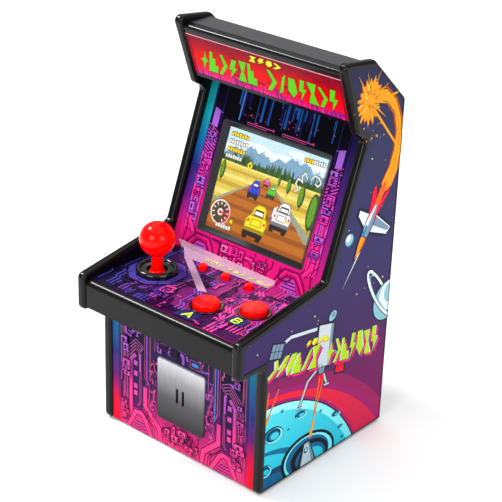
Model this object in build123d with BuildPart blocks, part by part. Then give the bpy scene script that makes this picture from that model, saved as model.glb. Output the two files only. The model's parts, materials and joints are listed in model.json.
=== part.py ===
from build123d import *
from math import cos, radians, sin, tan
import os

# A small desktop arcade cabinet with a joystick, five push buttons, a colour screen and a battery box.
# Millimetres. The origin is on the surface the cabinet stands on, below the middle of its outline.
# +X is the player's right, +Y points to the back and +Z is up.

os.makedirs("parts", exist_ok=True)

# Overall size
width = 77.0
depth = 84.0
height = 150.0

# Shell
side_thickness = 3.6
wall = 2.0
film = 0.25
stand_off = 0.4
rim_radius = 1.2
corner_radius = 2.2
front_rim = 2.3
back_rim = 1.1
film_recess = 0.25

# Lower front and nose
nose_reach = 12.8
nose_bottom = 51.0
nose_recess = 1.0
nose_radius = 2.3
front_recess = 1.2

# Control deck
deck_height = 63.2
deck_depth = 44.9
rail_rise = 2.0
rail_back_rise = 8.8

# Screen slope and marquee
lean = 19.6
fascia_recess = 2.6
notch_drop = 3.0
brow_reach = 5.0
marquee_lean = 20.3
marquee_drop = 27.1
marquee_recess = 0.9
marquee_height = 17.2
marquee_top_gap = 3.6
marquee_sill = 1.2
marquee_step = 0.2
soffit = 1.0
marquee_thickness = 1.2
roof_length = 17.7
roof_fall = 2.4
shoulder_fall = 20.2
top_lip = 3.4
back_lip = 0.6

# Screen
bezel_width = 50.5
bezel_height = 42.0
picture_width = 45.7
picture_height = 37.7
picture_depth = 1.7
bezel_land = 0.6
lens_thickness = 0.5
screen_shift = -0.6
panel_thickness = 1.4
tray_thickness = 1.4
tray_margin = 1.8

# Coin plate
coin_width = 23.0
coin_height = 25.4
coin_middle = 24.2
coin_thickness = 0.8
slot_width = 1.2
slot_height = 6.2
slot_spacing = 2.9

# Action buttons
button_radius = 4.75
button_gap = 0.35
button_rise = 2.5
button_travel = 1.2
ring_width = 0.95
ring_rise = 0.5
button_a = (9.0, 16.2)
button_b = (23.8, 24.4)

# Menu buttons
menu_radius = 1.55
menu_rise = 2.0
menu_pitch = 11.0
menu_from_back = 8.3
menu_shift = -0.4

# Joystick
stick_place = (-21.3, 23.2)
ball_radius = 6.5
ball_height = 13.3
stem_radius = 2.1
flange_radius = 2.9
collar_radius = 7.7
collar_hole = 3.85
collar_height = 2.6
pivot_depth = 2.4
gimbal_radius = 5.4
gimbal_wall = 1.8
pin_radius = 0.7
pin_fit = 0.05
actuator_radius = 2.2
actuator_drop = 7.8
housing_wall = 1.0
flange_thickness = 1.4
spigot_radius = 1.5
spigot_length = 4.0
collar_floor = 0.9
collar_dish = 1.7
cup_room = 2.8
ring_thickness = 2.4
switch_block = (3.0, 4.2)

# Boards
board_thickness = 1.2
control_board_drop = 6.6
main_board_depth = 9.5
main_post_radius = 2.0
main_post_inset = 2.2
chip_height = 1.5
dome_sheet = 0.5
dome_crown = 1.0
lead_radius = 0.5
dome_spare = 0.1
post_radius = 1.7
post_inset = 2.6

# Batteries and back
cell_radius = 7.25
cell_length = 49.2
cell_nub = 1.3
nub_radius = 2.75
cell_gap = 0.9
bay_wall = 1.4
bay_bottom = 8.0
spring_room = 5.6
contact = 0.4
contact_side = 10.0
spring_wire = 0.3
spring_radius = 3.2
spring_pitch = 1.25
cover_thickness = 2.0
door_thickness = 1.6
door_gap = 0.3
hinge_pin = 0.6
hinge_reach = 1.4
speaker_radius = 14.0
speaker_middle = 101.0
speaker_rim = 1.2
speaker_rim_depth = 2.2
speaker_depth = 3.0
magnet_depth = 2.6
grille_hole = 0.8
grille_pitch = 3.2
switch_travel = 3.0
switch_height = 72.0
switch_x = 20.0
knob_width = 3.0
knob_height = 1.4
knob_reach = 0.7
knob_sink = 1.4

# Fasteners and feet
screw_radius = 0.9
screw_head = 1.8
small_screw_length = 3.1
block = 4.6
block_depth = 7.5
block_gap = 0.5
foot_radius = 4.0
foot_height = 1.4
foot_clear = 2.5
head_sink = 0.1
head_height = 0.9
recess_width = 0.45
recess_length = 2.2

# Places worked out from the sizes above
front = -depth / 2
back = depth / 2
inner = width / 2 - side_thickness
front_face = front + nose_reach + front_recess
nose_face = front + nose_recess
nose_floor = nose_bottom + 1.4
deck_back = front + deck_depth
plate_top = deck_height - film
floor_bottom = stand_off + 0.4
floor_top = floor_bottom + wall
slope = tan(radians(lean))
edge_shift = fascia_recess / cos(radians(lean))
rail_back = deck_height + rail_back_rise
rail_back_y = deck_back + rail_back_rise * slope - edge_shift
brow_z = height - marquee_drop
notch_z = brow_z - notch_drop
notch_y = rail_back_y + (notch_z - rail_back) * slope
brow_y = notch_y - brow_reach
crown_y = brow_y - marquee_drop * tan(radians(marquee_lean))
roof_y = crown_y + roof_length
roof_z = height - roof_fall
shoulder_z = height - shoulder_fall
cover_face = back - 1.0
cover_inside = cover_face - cover_thickness
roof_height = height - top_lip
marquee_foot = roof_height - (marquee_top_gap + marquee_height + marquee_sill) * cos(
    radians(marquee_lean)
)
fascia_length = (marquee_foot - marquee_step - deck_height) / cos(radians(lean))
screen_middle = (notch_z - deck_height) / cos(radians(lean)) / 2 + screen_shift
plate_back = film + wall

# The fascia's printed face: local x is the cabinet's X, local y runs up the slope
# and local z points outwards
fascia_face = Plane(
    origin=(0, deck_back, deck_height),
    x_dir=(1, 0, 0),
    z_dir=(0, -cos(radians(lean)), sin(radians(lean))),
)
# A cut through the fascia, seen from +X: local x runs up the slope and local y points outwards
fascia_cut = Plane(
    origin=(0, deck_back, deck_height),
    x_dir=(0, sin(radians(lean)), cos(radians(lean))),
    z_dir=(1, 0, 0),
)
# The same kind of cut through the marquee, from the lower edge of its front face
marquee_foot_y = (
    brow_y
    - (marquee_foot - brow_z) * tan(radians(marquee_lean))
    + marquee_recess / cos(radians(marquee_lean))
)
marquee_cut = Plane(
    origin=(0, marquee_foot_y, marquee_foot),
    x_dir=(0, -sin(radians(marquee_lean)), cos(radians(marquee_lean))),
    z_dir=(1, 0, 0),
)
marquee_top = (roof_height - marquee_foot) / cos(radians(marquee_lean))
marquee_window_top = marquee_top - marquee_top_gap
marquee_window_foot = marquee_window_top - marquee_height

pieces = []


def keep(part, name):
    """Names a finished piece and writes it."""
    part.label = name
    pieces.append(part)
    export_step(part, f"parts/{name}.step")


def on_slope(along, below):
    """A point (y, z) this far up the fascia and this far behind its printed face."""
    y = deck_back + along * sin(radians(lean)) + below * cos(radians(lean))
    z = deck_height + along * cos(radians(lean)) - below * sin(radians(lean))
    return (y, z)


def side_outline(grow=0.0):
    """The side panel's corners (y, z), with its lower and rear edges moved outwards by grow."""
    return [
        (front + nose_reach, stand_off - grow),
        (front + nose_reach, nose_bottom),
        (front, nose_bottom),
        (front, deck_height + rail_rise),
        (rail_back_y, rail_back),
        (notch_y, notch_z),
        (brow_y, brow_z),
        (crown_y, height),
        (roof_y, roof_z),
        (back + grow, shoulder_z + grow * 0.9),
        (back + grow, stand_off - grow),
    ]


def film_outline():
    """The printed film on a side panel, inside the wide front rim and the narrow back and foot rims."""
    with BuildSketch(Plane.YZ) as sheet:
        with BuildLine():
            Polyline(*side_outline(grow=8.0), close=True)
        make_face()
        offset(amount=-front_rim, kind=Kind.INTERSECTION)
        with BuildSketch(Plane.YZ, mode=Mode.INTERSECT):
            with BuildLine():
                Polyline(*side_outline(), close=True)
            make_face()
            offset(amount=-back_rim, kind=Kind.INTERSECTION)
        fillet(sheet.vertices(), radius=1.0)
    return sheet.sketch_local


# ---------------------------------------------------------------- side panels

base_screw_ys = (front_face + 8.0, cover_inside - 6.0)
# the upper rear blocks stay under the place where the leaning fascia comes as far back as they reach
blocks_front = cover_inside - block_depth - block_gap
fascia_back_y = deck_back + plate_back / cos(radians(lean))
clear_z = min(notch_z, deck_height + (blocks_front - fascia_back_y) / slope)
rear_screw_zs = (bay_bottom - 3.0 + block, clear_z - block / 2 - block_gap)
rear_screw_x = inner - block / 2
panel_film = film_outline()

for side, tag in ((-1, "left"), (1, "right")):
    with BuildPart() as side_panel:
        with BuildSketch(Plane.YZ.offset(side * inner)):
            with BuildLine():
                outline = Polyline(*side_outline(), close=True)
            make_face()
            fillet(outline.vertices(), radius=corner_radius)
        extrude(amount=side * side_thickness)
        flat_faces = side_panel.faces().filter_by(Axis.X)
        fillet(flat_faces.edges(), radius=rim_radius)
        outer_face = Plane.YZ.offset(side * width / 2)
        with BuildSketch(outer_face):
            add(panel_film)
        extrude(amount=-side * (film + film_recess), mode=Mode.SUBTRACT)
        # blocks inside that take the screws of the floor and of the rear cover
        for y in base_screw_ys:
            with Locations((side * (inner - block / 2), y, floor_top + block_depth / 2)):
                Box(block, block, block_depth)
        for z in rear_screw_zs:
            with Locations((side * rear_screw_x, cover_inside - block_depth / 2, z)):
                Box(block, block_depth, block)
        for y in base_screw_ys:
            with Locations(Location((side * (inner - block / 2), y, floor_top), (180, 0, 0))):
                Hole(screw_radius, depth=block_depth - 1.0)
        for z in rear_screw_zs:
            with Locations(Location((side * rear_screw_x, cover_inside, z), (-90, 0, 0))):
                Hole(screw_radius, depth=block_depth - 1.0)
    keep(side_panel.part, f"side_panel_{tag}")

    with BuildPart() as side_film:
        with BuildSketch(Plane.YZ.offset(side * (width / 2 - film - film_recess))):
            add(panel_film)
        extrude(amount=side * film)
    keep(side_film.part, f"side_art_{tag}")

# ---------------------------------------------------------------- lower front

with BuildPart() as front_panel:
    with Locations((0, front_face + film, floor_bottom)):
        Box(2 * inner, wall, nose_floor - floor_bottom, align=(Align.CENTER, Align.MIN, Align.MIN))
keep(front_panel.part, "front_panel")

with BuildPart() as front_film:
    with Locations((0, front_face, floor_bottom)):
        Box(2 * inner, film, nose_floor - floor_bottom, align=(Align.CENTER, Align.MIN, Align.MIN))
keep(front_film.part, "front_art")

with BuildPart() as coin_plate:
    with BuildSketch(Plane.XZ.offset(-front_face)):
        with Locations((0, coin_middle)):
            RectangleRounded(coin_width, coin_height, radius=1.5)
            for side in (-1, 1):
                with Locations((side * slot_spacing / 2, 0)):
                    SlotOverall(slot_height, slot_width, rotation=90, mode=Mode.SUBTRACT)
    extrude(amount=coin_thickness)
    outer_edges = coin_plate.faces().sort_by(Axis.Y)[0].outer_wire().edges()
    chamfer(outer_edges, length=0.35)
keep(coin_plate.part, "coin_plate")

# ---------------------------------------------------------------- control deck

deck_edge = front_face + film + wall
button_places = {"a": (button_a[0], front + button_a[1]), "b": (button_b[0], front + button_b[1])}
menu_y = deck_back - menu_from_back
menu_names = ("reset", "start", "volume")
menu_places = {
    name: (menu_shift + (index - 1) * menu_pitch, menu_y) for index, name in enumerate(menu_names)
}
stick_x = stick_place[0]
stick_y = front + stick_place[1]
ring_inner = button_radius + button_gap
ring_outer = ring_inner + ring_width
barrel_radius = ring_inner + 0.4
menu_hole = menu_radius + button_gap
neck_inner = gimbal_radius + 0.5
neck_outer = neck_inner + housing_wall
board_top = deck_height - control_board_drop
board_left = stick_x + collar_radius + 1.4
board_right = inner - 1.0
board_front = nose_face + wall + 1.0
board_back = deck_back - 1.0
board_posts = [
    (x, y)
    for x in (board_left + post_inset, board_right - post_inset)
    for y in (board_front + post_inset, board_back - post_inset)
]
flange_half = neck_outer + 3.8
flange_screws = [
    (stick_x + sx * (flange_half - 1.9), stick_y + sy * (flange_half - 1.9))
    for sx in (-1, 1)
    for sy in (-1, 1)
]
deck_under = plate_top - wall

with BuildPart() as deck:
    with BuildSketch(Plane.YZ):
        with BuildLine():
            Polyline(
                (nose_face, nose_floor),
                (nose_face, plate_top),
                (deck_back + film * 2, plate_top),
                (deck_back + film * 2, deck_under),
                (nose_face + wall, deck_under),
                (nose_face + wall, nose_floor + wall),
                (deck_edge, nose_floor + wall),
                (deck_edge, nose_floor),
                close=True,
            )
        section = make_face()
        top_front = section.vertices().sort_by_distance((nose_face, plate_top, 0))[0]
        fillet(top_front, radius=nose_radius)
        low_front = section.vertices().sort_by_distance((nose_face, nose_floor, 0))[0]
        fillet(low_front, radius=0.8)
    extrude(amount=inner, both=True)
    for x, y in board_posts:
        with Locations((x, y, deck_under)):
            Cylinder(post_radius, deck_under - board_top, align=(Align.CENTER, Align.CENTER, Align.MAX))
    for x, y in board_posts:
        with Locations(Location((x, y, board_top), (180, 0, 0))):
            Hole(screw_radius, depth=control_board_drop - wall)
    for x, y in flange_screws:
        with Locations(Location((x, y, deck_under), (180, 0, 0))):
            Hole(screw_radius, depth=small_screw_length - flange_thickness)
    for x, y in button_places.values():
        with Locations((x, y, plate_top)):
            Hole(barrel_radius, depth=wall)
    for x, y in menu_places.values():
        with Locations((x, y, plate_top)):
            Hole(menu_hole, depth=wall)
    with Locations((stick_x, stick_y, plate_top)):
        Hole(neck_outer, depth=wall)
keep(deck.part, "control_deck")

film_front = nose_face + nose_radius + 0.2
with BuildPart() as deck_film:
    with Locations((0, film_front, plate_top)):
        Box(2 * inner, deck_back - film_front, film, align=(Align.CENTER, Align.MIN, Align.MIN))
    for x, y in button_places.values():
        with Locations((x, y, deck_height)):
            Hole(barrel_radius, depth=film)
    for x, y in menu_places.values():
        with Locations((x, y, deck_height)):
            Hole(menu_hole, depth=film)
    with Locations((stick_x, stick_y, deck_height)):
        Hole(neck_outer, depth=film)
keep(deck_film.part, "control_art")

# ---------------------------------------------------------------- fascia and screen

board_half_x = inner - 3.5
board_half_y = bezel_height / 2 + 5.5
main_posts = [
    (sx * (board_half_x - main_post_inset), screen_middle + sy * (board_half_y - main_post_inset))
    for sx in (-1, 1)
    for sy in (-1, 1)
]

with BuildPart() as fascia:
    with BuildSketch(fascia_face.offset(-film)):
        with Locations((0, fascia_length / 2)):
            Rectangle(2 * inner, fascia_length)
        with Locations((0, screen_middle)):
            RectangleRounded(bezel_width, bezel_height, radius=1.2, mode=Mode.SUBTRACT)
    extrude(amount=-wall)
    with BuildSketch(fascia_face.offset(-plate_back)):
        with Locations(*main_posts):
            Circle(main_post_radius)
    extrude(amount=-(main_board_depth - plate_back))
    with BuildSketch(fascia_face.offset(-main_board_depth)):
        with Locations(*main_posts):
            Circle(screw_radius)
    extrude(amount=main_board_depth - plate_back, mode=Mode.SUBTRACT)
    # the slope's foot is cut level where it stands on the deck
    split(bisect_by=Plane.XY.offset(plate_top), keep=Keep.TOP)
keep(fascia.part, "fascia_panel")

with BuildPart() as fascia_film:
    with BuildSketch(fascia_face):
        with Locations((0, fascia_length / 2)):
            Rectangle(2 * inner, fascia_length)
        with Locations((0, screen_middle)):
            RectangleRounded(bezel_width, bezel_height, radius=1.2, mode=Mode.SUBTRACT)
    extrude(amount=-film)
    split(bisect_by=Plane.XY.offset(deck_height), keep=Keep.TOP)
keep(fascia_film.part, "fascia_art")

bezel_depth = plate_back - lens_thickness
with BuildPart() as bezel:
    with BuildSketch(fascia_face):
        with Locations((0, screen_middle)):
            RectangleRounded(bezel_width, bezel_height, radius=1.2)
    extrude(amount=-bezel_depth)
    with BuildSketch(fascia_face):
        with Locations((0, screen_middle)):
            Rectangle(bezel_width - 2 * bezel_land, bezel_height - 2 * bezel_land)
    with BuildSketch(fascia_face.offset(-picture_depth)):
        with Locations((0, screen_middle)):
            Rectangle(picture_width, picture_height)
    loft(mode=Mode.SUBTRACT)
    with BuildSketch(fascia_face.offset(-picture_depth)):
        with Locations((0, screen_middle)):
            Rectangle(picture_width, picture_height)
    extrude(amount=-(bezel_depth - picture_depth), mode=Mode.SUBTRACT)
keep(bezel.part, "screen_bezel")

with BuildPart() as lens:
    with BuildSketch(fascia_face.offset(-bezel_depth)):
        with Locations((0, screen_middle)):
            RectangleRounded(bezel_width, bezel_height, radius=1.2)
    extrude(amount=-lens_thickness)
keep(lens.part, "screen_lens")

with BuildPart() as lcd_panel:
    with BuildSketch(fascia_face.offset(-plate_back)):
        with Locations((0, screen_middle)):
            Rectangle(bezel_width + 1.0, bezel_height + 1.0)
    extrude(amount=-panel_thickness)
keep(lcd_panel.part, "lcd_panel")

tray_back = plate_back + panel_thickness + tray_thickness
with BuildPart() as tray:
    with BuildSketch(fascia_face.offset(-plate_back)):
        with Locations((0, screen_middle)):
            Rectangle(bezel_width + 2 * tray_margin, bezel_height + 2 * tray_margin)
    extrude(amount=-(tray_back - plate_back))
    with BuildSketch(fascia_face.offset(-plate_back)):
        with Locations((0, screen_middle)):
            Rectangle(bezel_width + 1.0, bezel_height + 1.0)
    extrude(amount=-panel_thickness, mode=Mode.SUBTRACT)
keep(tray.part, "lcd_tray")

# ---------------------------------------------------------------- main board behind the screen

board_back_depth = main_board_depth + board_thickness
with BuildPart() as main_board:
    with BuildSketch(fascia_face.offset(-main_board_depth)):
        with Locations((0, screen_middle)):
            RectangleRounded(2 * board_half_x, 2 * board_half_y, radius=1.0)
        with Locations(*main_posts):
            Circle(screw_radius, mode=Mode.SUBTRACT)
    extrude(amount=-board_thickness)
keep(main_board.part, "main_board")

chip_places = [(-14.0, 6.0), (10.0, 8.0), (6.0, -12.0), (-16.0, -13.0)]
chip_sizes = [(12.0, 12.0), (8.0, 14.0), (6.0, 5.0), (9.0, 4.0)]
with BuildPart() as chips:
    with BuildSketch(fascia_face.offset(-board_back_depth)):
        for (x, y), (w, h) in zip(chip_places, chip_sizes):
            with Locations((x, screen_middle + y)):
                Rectangle(w, h)
    extrude(amount=-chip_height)
keep(chips.part, "main_board_chips")

ribbon_low = screen_middle - bezel_height / 2 + 3.0
ribbon_drop = 5.5
with BuildPart() as lcd_ribbon:
    with BuildSketch(fascia_cut.offset(-6.0)):
        with BuildLine():
            FilletPolyline(
                (ribbon_low, -tray_back - 0.1),
                (ribbon_low - ribbon_drop, -tray_back - 0.1),
                (ribbon_low - ribbon_drop, -main_board_depth + 0.1),
                (ribbon_low, -main_board_depth + 0.1),
                radius=1.5,
            )
        trace(line_width=0.2)
    extrude(amount=12.0)
keep(lcd_ribbon.part, "lcd_ribbon")

# ---------------------------------------------------------------- marquee

recess_back = -marquee_thickness
frame_back = recess_back - wall

with BuildPart() as marquee_frame:
    with BuildSketch(marquee_cut):
        with BuildLine():
            Polyline(
                (0, 0),
                (marquee_window_foot, 0),
                (marquee_window_foot, recess_back),
                (marquee_window_top, recess_back),
                (marquee_window_top, 0),
                (marquee_top, 0),
                (marquee_top, frame_back),
                (0, frame_back),
                close=True,
            )
        make_face()
    extrude(amount=inner, both=True)
    split(bisect_by=Plane.XY.offset(roof_height), keep=Keep.BOTTOM)
    # the soffit runs back from the marquee's foot to the head of the fascia
    head_y, head_z = on_slope(fascia_length, 0)
    with BuildSketch(Plane.YZ):
        with BuildLine():
            Polyline(
                (marquee_foot_y, marquee_foot),
                (head_y, head_z),
                (head_y + plate_back, head_z),
                (head_y + plate_back, head_z + soffit),
                (marquee_foot_y, marquee_foot + soffit),
                close=True,
            )
        make_face()
    extrude(amount=inner, both=True)
    top_edge = marquee_frame.edges().filter_by(Axis.X).sort_by_distance(
        marquee_cut.from_local_coords(Vector(marquee_top, 0, 0))
    )[0]
    fillet(top_edge, radius=1.3)
keep(marquee_frame.part, "marquee_frame")

with BuildPart() as marquee_panel:
    with BuildSketch(marquee_cut):
        with Locations(((marquee_window_foot + marquee_window_top) / 2, recess_back / 2 - 0.1)):
            Rectangle(marquee_height, marquee_thickness - 0.2)
    extrude(amount=inner, both=True)
keep(marquee_panel.part, "marquee_panel")

# ---------------------------------------------------------------- top and rear covers

roof_front = (
    marquee_foot_y
    - (roof_height - wall - marquee_foot) * tan(radians(marquee_lean))
    - frame_back / cos(radians(marquee_lean))
)
roof_rear_y = roof_y - 1.0
cover_top = shoulder_z - back_lip

with BuildPart() as top_cover:
    with BuildSketch(Plane.YZ):
        with BuildLine():
            Polyline(
                (roof_front, roof_height),
                (roof_rear_y, roof_height),
                (cover_face, cover_top),
                (cover_inside, cover_top),
                (roof_rear_y - 0.8, roof_height - wall),
                (roof_front, roof_height - wall),
                close=True,
            )
        make_face()
    extrude(amount=inner, both=True)
    ridge = top_cover.edges().filter_by(Axis.X).sort_by_distance((0, roof_rear_y, roof_height))[0]
    fillet(ridge, radius=2.0)
keep(top_cover.part, "top_cover")

# the battery box's sizes
bay_inner_half = (cell_length + cell_nub + spring_room + 2 * contact) / 2
bay_half = bay_inner_half + bay_wall
cell_pitch = 2 * cell_radius + cell_gap
bay_inner_bottom = bay_bottom + bay_wall
bay_inner_height = 3 * cell_pitch + cell_gap
bay_inner_top = bay_inner_bottom + bay_inner_height
bay_top = bay_inner_top + bay_wall
bay_depth = 2 * cell_radius + cell_gap + bay_wall
bay_front = cover_inside - bay_depth
cell_zs = [bay_inner_bottom + cell_gap / 2 + cell_pitch * (index + 0.5) for index in range(3)]
cell_y = bay_front + bay_wall + cell_gap / 2 + cell_radius
door_bottom = bay_inner_bottom
door_top = bay_inner_top
door_half = bay_inner_half
hinge_radius = door_thickness / 2
hinge_y = cover_face - hinge_radius
hinge_z = door_bottom + door_gap + hinge_radius

with BuildPart() as rear_cover:
    with Locations((0, cover_face, floor_bottom)):
        Box(
            2 * inner,
            cover_thickness,
            cover_top - floor_bottom,
            align=(Align.CENTER, Align.MAX, Align.MIN),
        )
    with Locations((0, cover_face, door_bottom)):
        Box(
            2 * door_half,
            cover_thickness,
            door_top - door_bottom,
            align=(Align.CENTER, Align.MAX, Align.MIN),
            mode=Mode.SUBTRACT,
        )
    # sockets for the door's hinge pins
    for side in (-1, 1):
        with Locations((side * door_half, hinge_y, hinge_z)):
            Cylinder(
                hinge_pin + pin_fit,
                2 * (hinge_reach + 0.3),
                rotation=(0, 90, 0),
                mode=Mode.SUBTRACT,
            )
    # speaker grille: rings of round holes
    with Locations(Location((0, cover_face, speaker_middle), (-90, 0, 0))):
        Hole(grille_hole, depth=cover_thickness)
        for ring_index in (1, 2, 3):
            with PolarLocations(grille_pitch * ring_index, 6 * ring_index):
                Hole(grille_hole, depth=cover_thickness)
    with Locations((switch_x + switch_travel / 2, cover_face, switch_height)):
        Box(
            switch_travel + knob_width + 0.4,
            2 * cover_thickness,
            knob_height + 1.0,
            mode=Mode.SUBTRACT,
        )
    for side in (-1, 1):
        for z in rear_screw_zs:
            with Locations(Location((side * rear_screw_x, cover_face, z), (-90, 0, 0))):
                CounterSinkHole(
                    screw_radius,
                    screw_head + 0.1,
                    depth=cover_thickness,
                    counter_sink_angle=90,
                )
    upper_edges = rear_cover.faces().sort_by(Axis.Y)[-1].outer_wire().edges()
    chamfer(upper_edges, length=0.3)
keep(rear_cover.part, "rear_cover")

door_plate_top = door_top - door_gap
with BuildPart() as door:
    with Locations((0, cover_face, hinge_z)):
        Box(
            2 * (door_half - door_gap),
            door_thickness,
            door_plate_top - hinge_z,
            align=(Align.CENTER, Align.MAX, Align.MIN),
        )
    with Locations((0, hinge_y, hinge_z)):
        Cylinder(hinge_radius, 2 * (door_half - door_gap), rotation=(0, 90, 0))
        Cylinder(hinge_pin, 2 * (door_half + hinge_reach), rotation=(0, 90, 0))
    # finger scoop and ribs for grip
    for index in range(5):
        with Locations((0, cover_face, door_plate_top - 5.0 - 1.6 * index)):
            Box(14.0, 0.7, 0.7, mode=Mode.SUBTRACT)
    # stiffening ribs inside, clear of the cells
    rib_z = (door_bottom + door_top) / 2
    for side in (-1, 1):
        with Locations((side * door_half * 0.55, cover_face - door_thickness, rib_z)):
            Box(
                1.0,
                0.4,
                (door_top - door_bottom) * 0.7,
                align=(Align.CENTER, Align.MAX, Align.CENTER),
            )
keep(door.part, "battery_door")

with BuildPart() as bay:
    with Locations((0, cover_inside, bay_bottom)):
        Box(2 * bay_half, bay_depth, bay_top - bay_bottom, align=(Align.CENTER, Align.MAX, Align.MIN))
    with Locations((0, cover_inside, bay_inner_bottom)):
        Box(
            2 * bay_inner_half,
            bay_depth - bay_wall,
            bay_inner_height,
            align=(Align.CENTER, Align.MAX, Align.MIN),
            mode=Mode.SUBTRACT,
        )
keep(bay.part, "battery_box")

with BuildPart() as cells:
    for index, z in enumerate(cell_zs):
        turn = 1 if index % 2 == 0 else -1
        cell_start = -turn * (bay_inner_half - contact - spring_room)
        with Locations(Location((cell_start, cell_y, z), (0, 90 * turn, 0))):
            Cylinder(cell_radius, cell_length, align=(Align.CENTER, Align.CENTER, Align.MIN))
    fillet(cells.edges().filter_by(GeomType.CIRCLE), radius=0.6)
    for index, z in enumerate(cell_zs):
        turn = 1 if index % 2 == 0 else -1
        cell_end = turn * (bay_inner_half - contact - cell_nub)
        with Locations(Location((cell_end, cell_y, z), (0, 90 * turn, 0))):
            Cylinder(nub_radius, cell_nub, align=(Align.CENTER, Align.CENTER, Align.MIN))
keep(cells.part, "aa_cells")

with BuildPart() as contacts:
    for side in (-1, 1):
        for z in cell_zs:
            with Locations((side * bay_inner_half, cell_y, z)):
                Box(
                    contact,
                    contact_side,
                    contact_side,
                    align=(Align.MAX if side > 0 else Align.MIN, Align.CENTER, Align.CENTER),
                )
keep(contacts.part, "battery_contacts")

with BuildPart() as springs:
    for index, z in enumerate(cell_zs):
        turn = 1 if index % 2 == 0 else -1
        spring_foot = -turn * (bay_inner_half - contact - spring_wire)
        with BuildLine() as coil:
            Helix(
                pitch=spring_pitch,
                height=spring_room - 2 * spring_wire,
                radius=spring_radius,
                center=(spring_foot, cell_y, z),
                direction=(turn, 0, 0),
            )
        with BuildSketch(Plane(origin=coil.line @ 0, z_dir=coil.line % 0)):
            Circle(spring_wire)
        sweep(path=coil.line)
keep(springs.part, "battery_springs")

# ---------------------------------------------------------------- floor and feet

foot_inset = foot_radius + foot_clear
base_screw_places = [(side * (inner - block / 2), y) for side in (-1, 1) for y in base_screw_ys]
foot_places = [
    (sx * (inner - block - foot_inset), y)
    for sx in (-1, 1)
    for y in base_screw_ys
]

with BuildPart() as base_plate:
    with Locations((0, (front_face + film + wall + cover_inside) / 2, floor_bottom)):
        Box(
            2 * inner,
            cover_inside - front_face - film - wall,
            wall,
            align=(Align.CENTER, Align.CENTER, Align.MIN),
        )
    for x, y in foot_places:
        with Locations(Location((x, y, floor_bottom), (180, 0, 0))):
            Hole(foot_radius, depth=foot_height - floor_bottom)
    for x, y in base_screw_places:
        with Locations(Location((x, y, floor_bottom), (180, 0, 0))):
            CounterSinkHole(screw_radius, screw_head + 0.1, depth=wall, counter_sink_angle=90)
keep(base_plate.part, "base_plate")

with BuildPart() as feet:
    for x, y in foot_places:
        with Locations((x, y, 0)):
            Cylinder(foot_radius, foot_height, align=(Align.CENTER, Align.CENTER, Align.MIN))
    fillet(feet.edges().group_by(Axis.Z)[0], radius=0.3)
keep(feet.part, "rubber_feet")

case_screw_length = wall + block_depth - 2.5
case_screw_places = [
    Location((x, y, floor_bottom + head_sink), (180, 0, 0)) for x, y in base_screw_places
]
case_screw_places += [
    Location((side * rear_screw_x, cover_face - head_sink, z), (-90, 0, 0))
    for side in (-1, 1)
    for z in rear_screw_zs
]
with BuildPart() as case_screws:
    for place in case_screw_places:
        with Locations(place):
            Cone(
                screw_radius,
                screw_head,
                screw_head - screw_radius,
                align=(Align.CENTER, Align.CENTER, Align.MAX),
            )
            Cylinder(screw_radius, case_screw_length, align=(Align.CENTER, Align.CENTER, Align.MAX))
            for turned in (0, 90):
                Box(
                    recess_length,
                    recess_width,
                    0.5,
                    rotation=(0, 0, turned),
                    align=(Align.CENTER, Align.CENTER, Align.MAX),
                    mode=Mode.SUBTRACT,
                )
keep(case_screws.part, "case_screws")

# ---------------------------------------------------------------- joystick

pivot_z = deck_height - pivot_depth
cup_floor = pivot_z - actuator_drop - cup_room
flange_top = deck_under
flange_bottom = flange_top - flange_thickness

with BuildPart() as housing:
    with Locations((stick_x, stick_y, flange_bottom)):
        Box(
            2 * flange_half,
            2 * flange_half,
            flange_top - flange_bottom,
            align=(Align.CENTER, Align.CENTER, Align.MIN),
        )
    with Locations((stick_x, stick_y, cup_floor)):
        Cylinder(neck_outer, flange_top - cup_floor, align=(Align.CENTER, Align.CENTER, Align.MIN))
    with Locations((stick_x, stick_y, flange_bottom)):
        Cylinder(
            neck_outer, plate_top - flange_bottom, align=(Align.CENTER, Align.CENTER, Align.MIN)
        )
    with Locations((stick_x, stick_y, cup_floor)):
        Cylinder(
            neck_inner,
            flange_bottom - cup_floor,
            align=(Align.CENTER, Align.CENTER, Align.MIN),
            mode=Mode.SUBTRACT,
        )
    with Locations((stick_x, stick_y, plate_top)):
        Hole(neck_inner, depth=plate_top - cup_floor)
    with Locations((stick_x, stick_y, pivot_z)):
        Cylinder(pin_radius + pin_fit, 2 * neck_outer, rotation=(0, 90, 0), mode=Mode.SUBTRACT)
    for x, y in flange_screws:
        with Locations((x, y, flange_top)):
            Hole(screw_radius, depth=flange_top - flange_bottom)
keep(housing.part, "joystick_housing")

with BuildPart() as gimbal:
    with Locations((stick_x, stick_y, pivot_z)):
        Cylinder(gimbal_radius, ring_thickness)
        Cylinder(pin_radius, 2 * (neck_outer - 0.3), rotation=(0, 90, 0))
        Cylinder(gimbal_radius - gimbal_wall, ring_thickness, mode=Mode.SUBTRACT)
        Cylinder(pin_radius + pin_fit, 2 * gimbal_radius, rotation=(90, 0, 0), mode=Mode.SUBTRACT)
keep(gimbal.part, "gimbal_ring")

with BuildPart() as pivot_pin:
    with Locations((stick_x, stick_y, pivot_z)):
        Cylinder(pin_radius, 2 * (gimbal_radius - 0.25), rotation=(90, 0, 0))
keep(pivot_pin.part, "stick_pin")

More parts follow.
